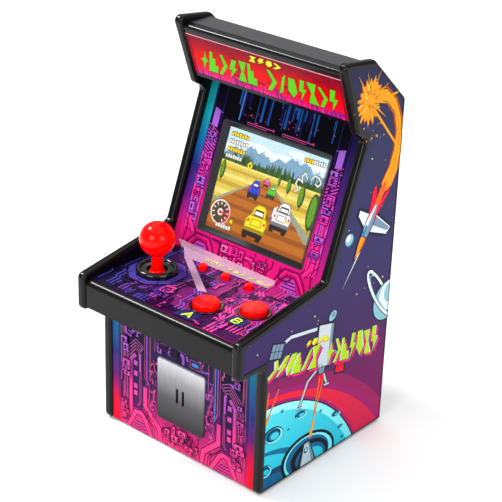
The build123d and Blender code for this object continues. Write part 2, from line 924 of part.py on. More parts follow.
stem_foot = deck_height + 0.2
stem_top = deck_height + ball_height - ball_radius + 0.9
actuator_bottom = pivot_z - actuator_drop
with BuildPart() as stem:
    with BuildSketch(Plane.XZ):
        with BuildLine():
            Polyline(
                (0, actuator_bottom),
                (actuator_radius, actuator_bottom),
                (actuator_radius, actuator_bottom + 1.6),
                (1.5, actuator_bottom + 2.2),
                (1.5, pivot_z - 2.2),
                (2.4, pivot_z - 1.3),
                (2.4, pivot_z + 1.3),
                (1.9, pivot_z + 2.0),
                (flange_radius, stem_foot),
                (flange_radius, stem_foot + 0.5),
            )
            ThreePointArc(
                (flange_radius, stem_foot + 0.5),
                (stem_radius + 0.2, stem_foot + 0.8),
                (stem_radius, stem_foot + 1.6),
            )
            Polyline(
                (stem_radius, stem_foot + 1.6),
                (stem_radius, stem_top),
                (spigot_radius, stem_top),
                (spigot_radius, stem_top + spigot_length),
                (0, stem_top + spigot_length),
                (0, actuator_bottom),
            )
        make_face()
    revolve(axis=Axis.Z)
    with Locations((0, 0, pivot_z)):
        Cylinder(pin_radius, 12.0, rotation=(90, 0, 0), mode=Mode.SUBTRACT)
stem_part = stem.part.moved(Location((stick_x, stick_y, 0)))
keep(stem_part, "joystick_stem")

with BuildPart() as ball:
    with Locations((stick_x, stick_y, deck_height + ball_height)):
        Sphere(ball_radius)
    with Locations((stick_x, stick_y, deck_height)):
        Cylinder(
            stem_radius,
            stem_top - deck_height,
            align=(Align.CENTER, Align.CENTER, Align.MIN),
            mode=Mode.SUBTRACT,
        )
        Cylinder(
            spigot_radius,
            stem_top + spigot_length - deck_height,
            align=(Align.CENTER, Align.CENTER, Align.MIN),
            mode=Mode.SUBTRACT,
        )
keep(ball.part, "joystick_ball")

with BuildPart() as collar:
    with BuildSketch(Plane.XZ):
        with BuildLine():
            Polyline(
                (collar_radius, 1.1),
                (collar_radius, 0),
                (neck_inner, 0),
                (neck_inner, collar_floor),
                (collar_hole, collar_floor),
                (collar_hole, collar_dish - 0.2),
                (collar_radius - 2.0, collar_dish),
            )
            ThreePointArc(
                (collar_radius - 2.0, collar_dish),
                (collar_radius - 1.0, collar_height),
                (collar_radius, 1.1),
            )
        make_face()
    revolve(axis=Axis.Z)
collar_part = collar.part.moved(Location((stick_x, stick_y, deck_height)))
keep(collar_part, "joystick_collar")

with BuildPart() as stick_board:
    with Locations((stick_x, stick_y, cup_floor)):
        Box(
            2 * neck_outer,
            2 * neck_outer,
            board_thickness,
            align=(Align.CENTER, Align.CENTER, Align.MAX),
        )
keep(stick_board.part, "joystick_board")

switch_inner = actuator_radius + 2.3
switch_outer = neck_inner - 0.6
with BuildPart() as direction_switches:
    with Locations((stick_x, stick_y, cup_floor)):
        with PolarLocations((switch_inner + switch_outer) / 2, 4):
            Box(
                switch_outer - switch_inner,
                *switch_block,
                align=(Align.CENTER, Align.CENTER, Align.MIN),
            )
keep(direction_switches.part, "direction_switches")

with BuildPart() as centring_spring:
    with BuildLine(Plane.XY.offset(cup_floor + 0.25)) as spring_coil:
        Helix(pitch=0.7, height=1.8, radius=1.9, center=(stick_x, stick_y, 0))
    with BuildSketch(Plane(origin=spring_coil.line @ 0, z_dir=spring_coil.line % 0)):
        Circle(0.2)
    sweep(path=spring_coil.line)
keep(centring_spring.part, "centring_spring")

# ---------------------------------------------------------------- push buttons

sheet_top = board_top + dome_sheet
dome_top = sheet_top + button_travel + dome_crown + dome_spare
play = 0.05
cap_foot = deck_under - play
cap_flange = 0.9


def push_button(place, radius, rise, crown):
    """A cap with a retaining flange under the deck and a short post that stands on its silicone dome."""
    x, y = place
    flange_low = cap_foot - 1.0
    with BuildPart() as button:
        with BuildSketch(Plane.XZ):
            with BuildLine():
                Polyline(
                    (0, dome_top + play),
                    (radius * 0.45, dome_top + play),
                    (radius * 0.45, flange_low),
                    (radius + cap_flange, flange_low),
                    (radius + cap_flange, cap_foot),
                    (radius, cap_foot),
                    (radius, deck_height + rise - crown),
                )
                ThreePointArc(
                    (radius, deck_height + rise - crown),
                    (radius - crown * 0.3, deck_height + rise - crown * 0.35),
                    (radius - crown, deck_height + rise - crown * 0.12),
                )
                Polyline(
                    (radius - crown, deck_height + rise - crown * 0.12),
                    (radius * 0.3, deck_height + rise),
                    (0, deck_height + rise),
                    (0, dome_top + play),
                )
            make_face()
        revolve(axis=Axis.Z)
    return button.part.moved(Location((x, y, 0)))


def silicone_dome(place, radius):
    """A hollow dome with a thick crown, standing on the silicone sheet."""
    x, y = place
    with BuildPart() as dome:
        with BuildSketch(Plane.XZ):
            with BuildLine():
                Polyline(
                    (radius, sheet_top),
                    (radius * 0.55, dome_top - 0.8),
                    (radius * 0.55, dome_top),
                    (0, dome_top),
                    (0, dome_top - dome_crown),
                    (radius * 0.4, dome_top - dome_crown),
                    (radius - 0.45, sheet_top),
                    close=True,
                )
            make_face()
        revolve(axis=Axis.Z)
    return dome.part.moved(Location((x, y, 0)))


for name, place in button_places.items():
    keep(push_button(place, button_radius, button_rise, 0.9), f"button_{name}")
    keep(silicone_dome(place, button_radius * 0.85), f"dome_{name}")
for name, place in menu_places.items():
    keep(push_button(place, menu_radius, menu_rise, 0.5), f"button_{name}")
    keep(silicone_dome(place, menu_radius + 0.9), f"dome_{name}")

with BuildPart() as rings:
    for x, y in button_places.values():
        with BuildSketch(Plane.XY.offset(deck_height)):
            with Locations((x, y)):
                Circle(ring_outer)
                Circle(ring_inner, mode=Mode.SUBTRACT)
        extrude(amount=ring_rise)
        with BuildSketch(Plane.XY.offset(deck_height)):
            with Locations((x, y)):
                Circle(barrel_radius)
                Circle(ring_inner, mode=Mode.SUBTRACT)
        extrude(amount=-(wall + film))
    fillet(rings.edges().group_by(Axis.Z)[-1], radius=0.22)
keep(rings.part, "button_rings")

with BuildPart() as dome_web:
    with Locations((board_left, board_front, board_top)):
        Box(
            board_right - board_left,
            board_back - board_front,
            dome_sheet,
            align=(Align.MIN, Align.MIN, Align.MIN),
        )
    for x, y in board_posts:
        with Locations((x, y, sheet_top)):
            Hole(post_radius + 0.2, depth=dome_sheet)
keep(dome_web.part, "silicone_sheet")

with BuildPart() as control_board:
    with Locations((board_left, board_front, board_top)):
        Box(
            board_right - board_left,
            board_back - board_front,
            board_thickness,
            align=(Align.MIN, Align.MIN, Align.MAX),
        )
    for x, y in board_posts:
        with Locations((x, y, board_top)):
            Hole(screw_radius, depth=board_thickness)
keep(control_board.part, "control_board")

small_screw_places = [Location((x, y, board_top - board_thickness)) for x, y in board_posts]
small_screw_places += [Location((x, y, flange_bottom)) for x, y in flange_screws]
board_back_face = fascia_face.offset(-board_back_depth)
small_screw_places += [board_back_face.location * Location((x, y, 0)) for x, y in main_posts]
with BuildPart() as small_screws:
    for place in small_screw_places:
        with Locations(place):
            Cylinder(screw_head, head_height, align=(Align.CENTER, Align.CENTER, Align.MAX))
            Cylinder(screw_radius, small_screw_length, align=(Align.CENTER, Align.CENTER, Align.MIN))
            with Locations((0, 0, -head_height)):
                for turned in (0, 90):
                    Box(recess_length, recess_width, 0.9, rotation=(0, 0, turned), mode=Mode.SUBTRACT)
keep(small_screws.part, "board_screws")

# ---------------------------------------------------------------- speaker and power switch

with BuildPart() as speaker:
    with BuildSketch(Plane.XZ.offset(-cover_inside)):
        with Locations((0, speaker_middle)):
            Circle(speaker_radius)
            Circle(speaker_radius - speaker_rim, mode=Mode.SUBTRACT)
    extrude(amount=speaker_rim_depth)
    with BuildSketch(Plane.XZ.offset(-(cover_inside - speaker_rim_depth))):
        with Locations((0, speaker_middle)):
            Circle(speaker_radius)
    extrude(amount=speaker_depth - speaker_rim_depth)
    with BuildSketch(Plane.XZ.offset(-(cover_inside - speaker_depth))):
        with Locations((0, speaker_middle)):
            Circle(speaker_radius * 0.5)
    extrude(amount=magnet_depth)
keep(speaker.part, "speaker")

with BuildPart() as cone:
    with BuildSketch(Plane.XZ.offset(-(cover_inside - 0.7))):
        with Locations((0, speaker_middle)):
            Circle(speaker_radius - speaker_rim)
    with BuildSketch(Plane.XZ.offset(-(cover_inside - speaker_rim_depth))):
        with Locations((0, speaker_middle)):
            Circle(speaker_radius * 0.4)
    loft()
keep(cone.part, "speaker_cone")

with BuildPart() as switch:
    with Locations((switch_x + switch_travel / 2, cover_inside, switch_height)):
        Box(
            switch_travel + knob_width + 4.0,
            4.5,
            5.6,
            align=(Align.CENTER, Align.MAX, Align.CENTER),
        )
        Box(
            switch_travel + knob_width + 0.4,
            1.8,
            2.0,
            align=(Align.CENTER, Align.MAX, Align.CENTER),
            mode=Mode.SUBTRACT,
        )
keep(switch.part, "power_switch")

with BuildPart() as knob:
    with Locations((switch_x, cover_inside - knob_sink, switch_height)):
        Box(
            knob_width,
            knob_sink + cover_thickness + knob_reach,
            knob_height,
            align=(Align.CENTER, Align.MIN, Align.CENTER),
        )
    # grip grooves
    for index in (-1, 0, 1):
        with Locations((switch_x + index * 0.8, cover_face + knob_reach, switch_height)):
            Box(0.3, 0.5, knob_height, mode=Mode.SUBTRACT)
keep(knob.part, "power_knob")

# ---------------------------------------------------------------- leads inside

def lead(points, radii):
    """A round lead along straight runs joined by arcs."""
    with BuildPart() as wire:
        with BuildLine() as route:
            FilletPolyline(*points, radius=radii)
        with BuildSketch(Plane(origin=route.line @ 0, z_dir=route.line % 0)):
            Circle(lead_radius)
        sweep(path=route.line)
    return wire.part


board_edge = screen_middle - board_half_y
over_bay = (bay_top + 3.0 - deck_height + board_back_depth * sin(radians(lean))) / cos(radians(lean))
board_y, board_z = on_slope(max(board_edge + 3.0, over_bay), board_back_depth)
with BuildPart() as battery_leads:
    for x in (-20.0, -17.0):
        add(
            lead(
                [
                    (x, cell_y, bay_top),
                    (x, cell_y, bay_top + 6.0),
                    (x, board_y + 5.0, board_z + 0.5),
                    (x, board_y + 0.35, board_z + 0.5),
                ],
                2.4,
            )
        )
keep(battery_leads.part, "battery_leads")

speaker_back = cover_inside - speaker_depth
high_y, high_z = on_slope(screen_middle - 2.4, board_back_depth)
lead_drop = speaker_radius - 4.0
with BuildPart() as speaker_leads:
    for x in (-3.0, 0.0):
        add(
            lead(
                [
                    (x, speaker_back, speaker_middle - lead_drop),
                    (x, speaker_back - 3.5, speaker_middle - lead_drop),
                    (x, high_y + 3.5, high_z),
                    (x, high_y + 0.3, high_z),
                ],
                1.5,
            )
        )
keep(speaker_leads.part, "speaker_leads")

link_y, link_z = on_slope(board_edge + 1.5, board_back_depth)
with BuildPart() as control_ribbon:
    with BuildSketch(Plane.YZ.offset(4.0)):
        with BuildLine():
            FilletPolyline(
                (board_back, board_top - board_thickness - 0.15),
                (board_back + 5.0, board_top - board_thickness - 0.15),
                (link_y + 0.3 - 4.0 * slope, link_z - 4.0),
                (link_y + 0.3, link_z),
                radius=2.0,
            )
        trace(line_width=0.3)
    extrude(amount=14.0)
keep(control_ribbon.part, "control_ribbon")

print(len(pieces), "pieces")
print("door hinge at y", round(hinge_y, 3), "and z", round(hinge_z, 3))
print("joystick pivot at z", round(pivot_z, 3))
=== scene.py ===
"""Looks for a small desktop arcade cabinet: moulded shells, printed films, a lit picture, red controls.

All places are in metres in the cabinet's own frame; artwork is drawn in millimetres on each printed face.
"""

import json
import math
import random

import bpy
from mathutils import Matrix, Vector


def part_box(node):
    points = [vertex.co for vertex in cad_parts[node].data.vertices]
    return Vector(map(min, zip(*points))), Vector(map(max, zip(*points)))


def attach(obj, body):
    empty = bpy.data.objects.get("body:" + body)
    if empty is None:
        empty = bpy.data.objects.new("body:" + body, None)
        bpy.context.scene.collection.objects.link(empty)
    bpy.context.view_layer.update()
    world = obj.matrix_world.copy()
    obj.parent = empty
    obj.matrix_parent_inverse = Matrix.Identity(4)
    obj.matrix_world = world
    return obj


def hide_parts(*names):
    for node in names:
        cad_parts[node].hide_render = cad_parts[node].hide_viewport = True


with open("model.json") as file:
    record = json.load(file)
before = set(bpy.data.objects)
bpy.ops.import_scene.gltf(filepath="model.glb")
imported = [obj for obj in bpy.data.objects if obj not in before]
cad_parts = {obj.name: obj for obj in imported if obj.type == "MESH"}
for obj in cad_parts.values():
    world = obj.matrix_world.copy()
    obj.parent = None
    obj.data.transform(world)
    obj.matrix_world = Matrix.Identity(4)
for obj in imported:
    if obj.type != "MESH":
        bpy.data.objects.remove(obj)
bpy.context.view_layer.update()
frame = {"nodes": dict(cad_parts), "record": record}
nodes = frame["nodes"]
MM = 0.001


# ------------------------------------------------------------------ shader tools


class Value:
    """One output of a material's node tree; arithmetic on it adds Math nodes."""

    def __init__(self, finish, socket):
        self.finish = finish
        self.socket = socket

    def math(self, operation, *values):
        return self.finish.node("ShaderNodeMath", dict(enumerate(values)), operation=operation)

    def __add__(self, other):
        return self.math("ADD", self, other)

    def __mul__(self, other):
        return self.math("MULTIPLY", self, other)

    def __sub__(self, other):
        return self.math("SUBTRACT", self, other)


class Finish:
    """A procedural material round one Principled shader."""

    def __init__(self, name, **constants):
        self.material = bpy.data.materials.new(name)
        self.material.use_nodes = True
        self.tree = self.material.node_tree
        self.shader = self.tree.nodes["Principled BSDF"]
        for socket, value in constants.items():
            self.put(socket.replace("_", " "), value)

    def node(self, kind, inputs=None, out=0, **settings):
        """Adds a node: its settings first, then its sockets' values or links. Gives back one output."""
        made = self.tree.nodes.new(kind)
        stops = settings.pop("stops", None)
        for name, value in settings.items():
            setattr(made, name, value)
        if stops:
            ramp = made.color_ramp
            while len(ramp.elements) < len(stops):
                ramp.elements.new(0.5)
            for element, (place, colour) in zip(ramp.elements, stops):
                element.position = place
                element.color = (*colour, 1.0)
        for key, value in (inputs or {}).items():
            socket = made.inputs[key]
            if isinstance(value, Value):
                self.tree.links.new(value.socket, socket)
            else:
                socket.default_value = value
        return Value(self, made.outputs[out])

    def put(self, name, value):
        """Sets or links a socket of the shader itself."""
        socket = self.shader.inputs[name]
        if isinstance(value, Value):
            self.tree.links.new(value.socket, socket)
        elif name in ("Base Color", "Emission Color"):
            socket.default_value = (*value, 1.0)
        else:
            socket.default_value = value

    def axis(self, letter):
        """One coordinate of the surface point at rest, in millimetres."""
        spot = self.node("ShaderNodeTexCoord", out="Object")
        return self.node("ShaderNodeSeparateXYZ", {0: spot}, out=letter) * 1000.0

    def noise(self, scale, detail=3.0, rough=0.5, stretch=None):
        """Noise by position; scale is in patches per millimetre, stretch multiplies each axis."""
        spot = self.node("ShaderNodeTexCoord", out="Object")
        spot = self.node(
            "ShaderNodeVectorMath",
            {0: spot, 1: tuple(1000.0 * s for s in (stretch or (1, 1, 1)))},
            operation="MULTIPLY",
        )
        sizes = {"Vector": spot, "Scale": scale, "Detail": detail, "Roughness": rough}
        return self.node("ShaderNodeTexNoise", sizes)

    def ramp(self, value, stops):
        return self.node("ShaderNodeValToRGB", {0: value}, stops=stops)

    def span(self, value, low, high, to_low=0.0, to_high=1.0):
        """Maps low..high to to_low..to_high, held at the ends."""
        return self.node("ShaderNodeMapRange", {0: value, 1: low, 2: high, 3: to_low, 4: to_high})

    def mix(self, share, first, second, blend="MIX"):
        colours = [(*c, 1.0) if isinstance(c, tuple) and len(c) == 3 else c for c in (first, second)]
        return self.node(
            "ShaderNodeMix",
            {0: share, 6: colours[0], 7: colours[1]},
            out=2,
            data_type="RGBA",
            blend_type=blend,
        )

    def bump(self, height, strength, distance):
        normal = self.node(
            "ShaderNodeBump", {"Height": height, "Strength": strength, "Distance": distance}
        )
        self.put("Normal", normal)


def linear(code):
    """A colour given as rrggbb, as light values."""
    parts = [int(code[i : i + 2], 16) / 255 for i in (0, 2, 4)]
    return tuple(c / 12.92 if c <= 0.04045 else ((c + 0.055) / 1.055) ** 2.4 for c in parts)


# ------------------------------------------------------------------ finishes


def moulded(name, colour, rough, grain=0.25, wear=0.35, coat=0.0, texture=1.1, shine=0.3):
    """Moulded plastic: faint mottling, fine moulding grain and rubbed patches that shine more."""
    look = Finish(name, Coat_Weight=coat, Coat_Roughness=0.12, Specular_IOR_Level=shine)
    patches = look.span(look.noise(0.06, 4.0, 0.6), 0.35, 0.65)
    dust = look.noise(0.9, 3.0, 0.7)
    paler = tuple(c * 1.35 + 0.002 for c in colour)
    look.put("Base Color", look.mix(patches * 0.6 + dust * 0.25, colour, paler))
    look.put("Roughness", look.span(patches * wear + dust * 0.3, 0.0, 0.8, rough * 0.8, rough * 1.25))
    look.bump(look.noise(texture, 2.0, 0.6), grain, 0.00004)
    return look


def red_with_painted_glow():
    """Glossy red plastic with a faint flow pattern and fine rubbing from fingers, and a painted glow: a
    faint red emission that keeps it bright though it is no lamp.
    """
    look = Finish("red_gloss", Specular_IOR_Level=0.14, Emission_Strength=0.12)
    flow = look.noise(0.12, 3.0, 0.5)
    rub = look.noise(1.4, 4.0, 0.7, (1, 1, 0.3))
    look.put("Base Color", look.mix(flow, (0.9, 0.0, 0.0), (1.0, 0.002, 0.0)))
    # painted glow: red emission on plain plastic
    look.put("Emission Color", look.mix(flow, (0.9, 0.0, 0.0), (1.0, 0.0, 0.0)))
    look.put("Roughness", look.span(rub, 0.3, 0.75, 0.13, 0.22))
    look.bump(look.noise(0.35, 2.0, 0.5), 0.02, 0.00003)
    return look


def brushed_plate_with_painted_shade():
    """Brushed steel with upright grain, and painted shade: darker towards its foot, near black at the
    bottom.
    """
    look = Finish("steel_plate", Metallic=0.55, Anisotropic=0.35)
    grain = look.noise(2.4, 4.0, 0.65, (1, 1, 0.04))
    smudge = look.noise(0.12, 3.0, 0.6)
    # painted shade: the colour runs from near black at the plate's foot to pale at its top
    height = look.span(look.axis("Z"), 11.0, 37.0)
    tone = look.ramp(
        height,
        [
            (0.0, linear("151517")), (0.42, linear("4c4c50")), (0.75, linear("929296")),
            (1.0, linear("cfcfd3")),
        ],
    )
    streaks = look.ramp(look.span(grain, 0.3, 0.7), [(0.0, (0.8, 0.8, 0.8)), (1.0, (1.0, 1.0, 1.0))])
    look.put("Base Color", look.mix(1.0, tone, streaks, "MULTIPLY"))
    look.put("Roughness", look.span(grain * 0.7 + smudge * 0.5, 0.3, 0.9, 0.28, 0.46))
    look.bump(grain, 0.12, 0.00003)
    return look


def sheen_paint(name, colour):
    """Dark paint with metal flakes: nearly black face on, bright where it meets the light."""
    look = Finish(name, Metallic=0.8)
    flakes = look.noise(2.6, 3.0, 0.7)
    rubs = look.noise(0.15, 4.0, 0.6)
    look.put("Base Color", look.mix(flakes, colour, tuple(c * 1.2 for c in colour)))
    look.put("Roughness", look.span(flakes * 0.3 + rubs * 0.7, 0.3, 0.7, 0.12, 0.2))
    look.bump(flakes, 0.01, 0.00002)
    return look


def metal(name, colour, rough, scale=1.2):
    look = Finish(name, Metallic=1.0)
    spots = look.noise(scale, 4.0, 0.6)
    look.put("Base Color", look.mix(spots, colour, tuple(c * 0.7 for c in colour)))
    look.put("Roughness", look.span(spots, 0.3, 0.7, rough * 0.8, rough * 1.3))
    look.bump(spots, 0.08, 0.00003)
    return look


def soft_rubber(name, colour):
    look = Finish(name, Specular_IOR_Level=0.3)
    fine = look.noise(2.0, 4.0, 0.7)
    look.put("Base Color", look.mix(fine, colour, tuple(c * 1.5 + 0.01 for c in colour)))
    look.put("Roughness", look.span(fine, 0.2, 0.8, 0.6, 0.85))
    look.bump(fine, 0.3, 0.00005)
    return look


def circuit_green():
    """Solder mask with darker copper runs below it."""
    look = Finish("circuit_board", Coat_Weight=0.4)
    runs = look.node(
        "ShaderNodeTexBrick",
        {
            "Vector": look.node(
                "ShaderNodeVectorMath",
                {0: look.node("ShaderNodeTexCoord", out="Object"), 1: (1000.0, 1000.0, 1000.0)},
                operation="MULTIPLY",
            ),
            "Scale": 0.5,
            "Mortar Size": 0.03,
        },
        out=1,
    )
    look.put("Base Color", look.mix(runs, linear("0b5a2c"), linear("2f8f4c")))
    look.put("Roughness", look.span(look.noise(0.8), 0.3, 0.7, 0.3, 0.5))
    return look


def clear_window():
    """The clear acrylic window: mostly see-through, with a polished face and faint wiping marks."""
    look = Finish("clear_lens", Base_Color=(0.02, 0.02, 0.03), Specular_IOR_Level=0.4)
    wipe = look.noise(0.3, 4.0, 0.6, (1, 1, 3))
    look.put("Alpha", look.span(wipe, 0.2, 0.8, 0.05, 0.08))
    look.put("Roughness", look.span(wipe, 0.2, 0.8, 0.04, 0.12))
    return look


def cell_wrap():
    """Cell jackets: a dark body with a copper-coloured end, and worn print."""
    look = Finish("cell_jacket", Metallic=0.6)
    ends = look.span(look.axis("X"), -14.0, -13.0)
    scuffs = look.noise(0.7, 4.0, 0.7)
    look.put(
        "Base Color",
        look.mix(ends, linear("b8763a"), look.mix(scuffs, linear("16181d"), linear("2a2f3a"))),
    )
    look.put("Roughness", look.span(scuffs, 0.3, 0.7, 0.25, 0.5))
    return look


finishes = {
    "black_shell": moulded("black_shell", linear("040405"), 0.2, 0.06, 0.2, shine=0.2),
    "charcoal_shell": moulded("charcoal_shell", linear("070708"), 0.2, 0.12, 0.2, shine=0.16),
    # the roof is partly its own dark satin grey, partly painted sheen: lighter than the black shells to
    # stand in for the sky light its top reflects
    "roof_shell": moulded("roof_shell", linear("343437"), 0.36, 0.2),
    "back_shell": moulded("back_shell", linear("161617"), 0.5, 0.5),
    "bezel_grey": sheen_paint("bezel_grey", linear("46464a")),
    "black_gloss": moulded("black_gloss", linear("060607"), 0.12, 0.03, 0.15, coat=0.3),
    "red_gloss": red_with_painted_glow(),
    "steel_plate": brushed_plate_with_painted_shade(),
    "tray_steel": metal("tray_steel", (0.5, 0.5, 0.5), 0.35),
    "spring_steel": metal("spring_steel", (0.75, 0.74, 0.7), 0.22),
    "screw_steel": metal("screw_steel", (0.25, 0.25, 0.26), 0.35),
    "speaker_steel": metal("speaker_steel", (0.2, 0.2, 0.2), 0.4),
    "clear_lens": clear_window(),
    "circuit_board": circuit_green(),
    "chip_black": moulded("chip_black", linear("141414"), 0.6, 0.6, texture=2.0),
    "housing_plastic": moulded("housing_plastic", linear("232324"), 0.5, 0.3),
    "ribbon_film": moulded("ribbon_film", linear("a8702a"), 0.3, 0.1, coat=0.4),
    "lead_cover": moulded("lead_cover", linear("8c1414"), 0.45, 0.2),
    "cell_jacket": cell_wrap(),
    "silicone": soft_rubber("silicone", linear("9a9aa0")),
    "foot_rubber": soft_rubber("foot_rubber", linear("161616")),
    "cone_paper": soft_rubber("cone_paper", linear("1c1c1c")),
}


def banded(name, axis, low, high, stops, rough=0.2, speckle=0.12):
    """Printed film: colour runs along one axis, with a fine print grain under a clear laminate."""
    look = Finish(name, Specular_IOR_Level=0.05)
    along = look.span(look.axis(axis), low, high)
    grain = look.noise(1.8, 3.0, 0.6)
    wash = look.noise(0.09, 3.0, 0.6)
    share = along + (wash - 0.5) * 0.12
    colour = look.ramp(share, stops)
    shade = look.ramp(look.span(grain, 0.25, 0.75), [(0.0, (0.84 - speckle,) * 3), (1.0, (0.84,) * 3)])
    look.put("Base Color", look.mix(1.0, colour, shade, "MULTIPLY"))
    look.put("Roughness", look.span(grain * 0.4 + wash * 0.6, 0.3, 0.7, rough * 0.8, rough * 1.4))
    look.bump(look.noise(0.22, 2.0, 0.5), 0.03, 0.00006)
    return look


def even_ink(name, code, speckle=0.1):
    tone = linear(code)
    paler = tuple(min(1.0, c * 1.15 + 0.01) for c in tone)
    return banded(name, "Z", 0.0, 150.0, [(0.0, tone), (1.0, paler)], speckle=speckle)


def lit(name, code, second=None, power=1.22):
    """A colour of the lit picture, with the fine rows of its dots."""
    look = Finish(name, Base_Color=(0.0, 0.0, 0.0), Roughness=0.4, Emission_Strength=power)
    rows = look.noise(2.2, 1.0, 0.4)
    tone = linear(code)
    other = linear(second) if second else tuple(c * 0.86 for c in tone)
    look.put("Emission Color", look.mix(look.span(rows, 0.35, 0.65), tone, other))
    look.put("Roughness", look.span(rows, 0.2, 0.8, 0.35, 0.45))
    return look


# ------------------------------------------------------------------ printed shapes


def clipped(points, region):
    """The part of a polygon inside a convex region, both anticlockwise."""
    for index, start in enumerate(region):
        end = region[(index + 1) % len(region)]
        edge = (end[0] - start[0], end[1] - start[1])

        def depth(p):
            return edge[0] * (p[1] - start[1]) - edge[1] * (p[0] - start[0])

        kept = []
        for at, point in enumerate(points):
            before = points[at - 1]
            a, b = depth(before), depth(point)
            if (a < 0) != (b < 0):
                t = a / (a - b)
                kept.append(
                    (before[0] + (point[0] - before[0]) * t, before[1] + (point[1] - before[1]) * t)
                )
            if b >= 0:
                kept.append(point)
        points = kept
        if len(points) < 3:
            return []
    return points


def area(points):
    return sum(a[0] * b[1] - b[0] * a[1] for a, b in zip(points, points[1:] + points[:1])) / 2


def arc(centre, radius, start=0.0, end=360.0, steps=40, squash=1.0, tilt=0.0):
    """Points along an arc or an ellipse, angles in degrees."""
    made = []
    for index in range(steps + (end - start < 360.0)):
        angle = math.radians(start + (end - start) * index / steps)
        x, y = radius * math.cos(angle), radius * squash * math.sin(angle)
        turn = math.radians(tilt)
        made.append(
            (
                centre[0] + x * math.cos(turn) - y * math.sin(turn),
                centre[1] + x * math.sin(turn) + y * math.cos(turn),
            )
        )
    return made


class Artwork:
    """Flat inks laid over each other on one face, each shape a thin closed prism a little above the last."""

    step = 0.0011

    def __init__(self, name, origin, right, up, regions, start=0.012):
        self.name = name
        self.origin = Vector(origin) * MM
        self.right = Vector(right)
        self.up = Vector(up)
        self.out = self.right.cross(self.up)
        self.regions = regions
        self.rise = start
        self.depth = 0.01
        self.hand = 1
        self.verts = []
        self.faces = []
        self.inks = []
        self.slots = []
        self.mirror = False
        self.line = None

    def spot(self, x, y, rise):
        return self.origin + (self.right * x * self.hand + self.up * y + self.out * rise) * MM

    def prism(self, ink, points):
        for region in self.regions:
            self.part_prism(ink, clipped(list(points), region))

    def part_prism(self, ink, points):
        if len(points) < 3 or abs(area(points)) < 0.0004:
            return
        if self.hand < 0:
            points.reverse()
        base = len(self.verts)
        count = len(points)
        low = self.rise - self.depth
        self.verts += [self.spot(x, y, low) for x, y in points]
        self.verts += [self.spot(x, y, self.rise) for x, y in points]
        faces = [tuple(range(base + count, base + 2 * count)), tuple(reversed(range(base, base + count)))]
        for at in range(count):
            to = (at + 1) % count
            faces.append((base + at, base + to, base + count + to, base + count + at))
        if ink not in self.inks:
            self.inks.append(ink)
        self.faces += faces
        self.slots += [self.inks.index(ink)] * len(faces)

    def shape(self, ink, points, lift=True):
        """One closed outline; with mirror on, its twin on the other side as well."""
        if lift:
            self.rise += self.step
        points = list(points)
        if area(points) < 0:
            points.reverse()
        self.prism(ink, points)
        if self.mirror:
            self.prism(ink, [(-x, y) for x, y in reversed(points)])

    def stroke(self, ink, points, width, closed=False, lift=True):
        """A line of even width with mitred corners."""
        if lift:
            self.rise += self.step
        points = list(points)
        count = len(points)
        sides = []
        for at, (x, y) in enumerate(points):
            before = points[at - 1] if (at or closed) else None
            after = points[(at + 1) % count] if (at < count - 1 or closed) else None
            ways = []
            if before:
                ways.append(Vector((x - before[0], y - before[1])).normalized())
            if after:
                ways.append(Vector((after[0] - x, after[1] - y)).normalized())
            across = sum((Vector((-w.y, w.x)) for w in ways), Vector((0, 0)))
            if across.length < 1e-6:
                across = Vector((-ways[0].y, ways[0].x))
            across.normalize()
            reach = width / 2 / max(0.45, across.dot(Vector((-ways[0].y, ways[0].x))))
            sides.append(
                (
                    (x + across.x * reach, y + across.y * reach),
                    (x - across.x * reach, y - across.y * reach),
                ),
            )
        for at in range(count if closed else count - 1):
            a, b = sides[at], sides[(at + 1) % count]
            quad = [a[1], b[1], b[0], a[0]]
            self.shape(ink, quad, lift=False)

    def track(self, ink, points, width, edge=0.35):
        """A line with a dark edge on both sides."""
        self.stroke(self.line, points, width + 2 * edge)
        self.stroke(ink, points, width)

    def disc(self, ink, centre, radius, **options):
        self.shape(ink, arc(centre, radius, **options))

    def hoop(self, ink, centre, radius, width, **options):
        whole = options.get("end", 360.0) - options.get("start", 0.0) >= 360.0
        self.stroke(ink, arc(centre, radius, **options), width, closed=whole)

    def bar(self, ink, x, y, wide, high, lift=True):
        self.shape(ink, [(x, y), (x + wide, y), (x + wide, y + high), (x, y + high)], lift)

    def finish(self, body, slot, replaces=None):
        mesh = bpy.data.meshes.new(self.name)
        mesh.from_pydata(self.verts, [], self.faces)
        for ink in self.inks:
            mesh.materials.append(inks[ink].material)
        mesh.polygons.foreach_set("material_index", self.slots)
        mesh.update()
        piece = bpy.data.objects.new(self.name, mesh)
        bpy.context.scene.collection.objects.link(piece)
        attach(piece, body)
        if replaces:
            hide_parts(replaces)
        return piece


inks = {
    "ink_dark": even_ink("ink_dark", "120c22"),
    "ink_green": even_ink("ink_green", "5cc40c"),
    "ink_lime": even_ink("ink_lime", "b8e01a"),
    "ink_yellow": even_ink("ink_yellow", "dcff1c"),
    "ink_pale_yellow": even_ink("ink_pale_yellow", "f0f778"),
    "ink_pink": even_ink("ink_pink", "ff2a86"),
    "ink_magenta": even_ink("ink_magenta", "a3146d"),
    "ink_orange": even_ink("ink_orange", "ff9d0b"),
    "ink_deep_orange": even_ink("ink_deep_orange", "e8641a"),
    "ink_red": even_ink("ink_red", "ff0030"),
    "ink_teal": even_ink("ink_teal", "1d6f92"),
    "ink_sea": even_ink("ink_sea", "12416a"),
    "ink_white": even_ink("ink_white", "e9f4f6"),
    "ink_pale_blue": even_ink("ink_pale_blue", "8fc7d6"),
}

# ------------------------------------------------------------------ carried-over parts

given = {s["node"]: s["material_slot"] for s in frame["record"]["subparts"]}
look_of = {
    # painted sheen: the roof's lighter grey stands in for reflected sky light
    "top_cover": "roof_shell",
    "rear_cover": "back_shell",
    "battery_door": "back_shell",
    "base_plate": "back_shell",
}
for node, piece in nodes.items():
    slot = look_of.get(node, given[node])
    finish = finishes.get(slot)
    if finish:
        piece.data.materials.clear()
        piece.data.materials.append(finish.material)

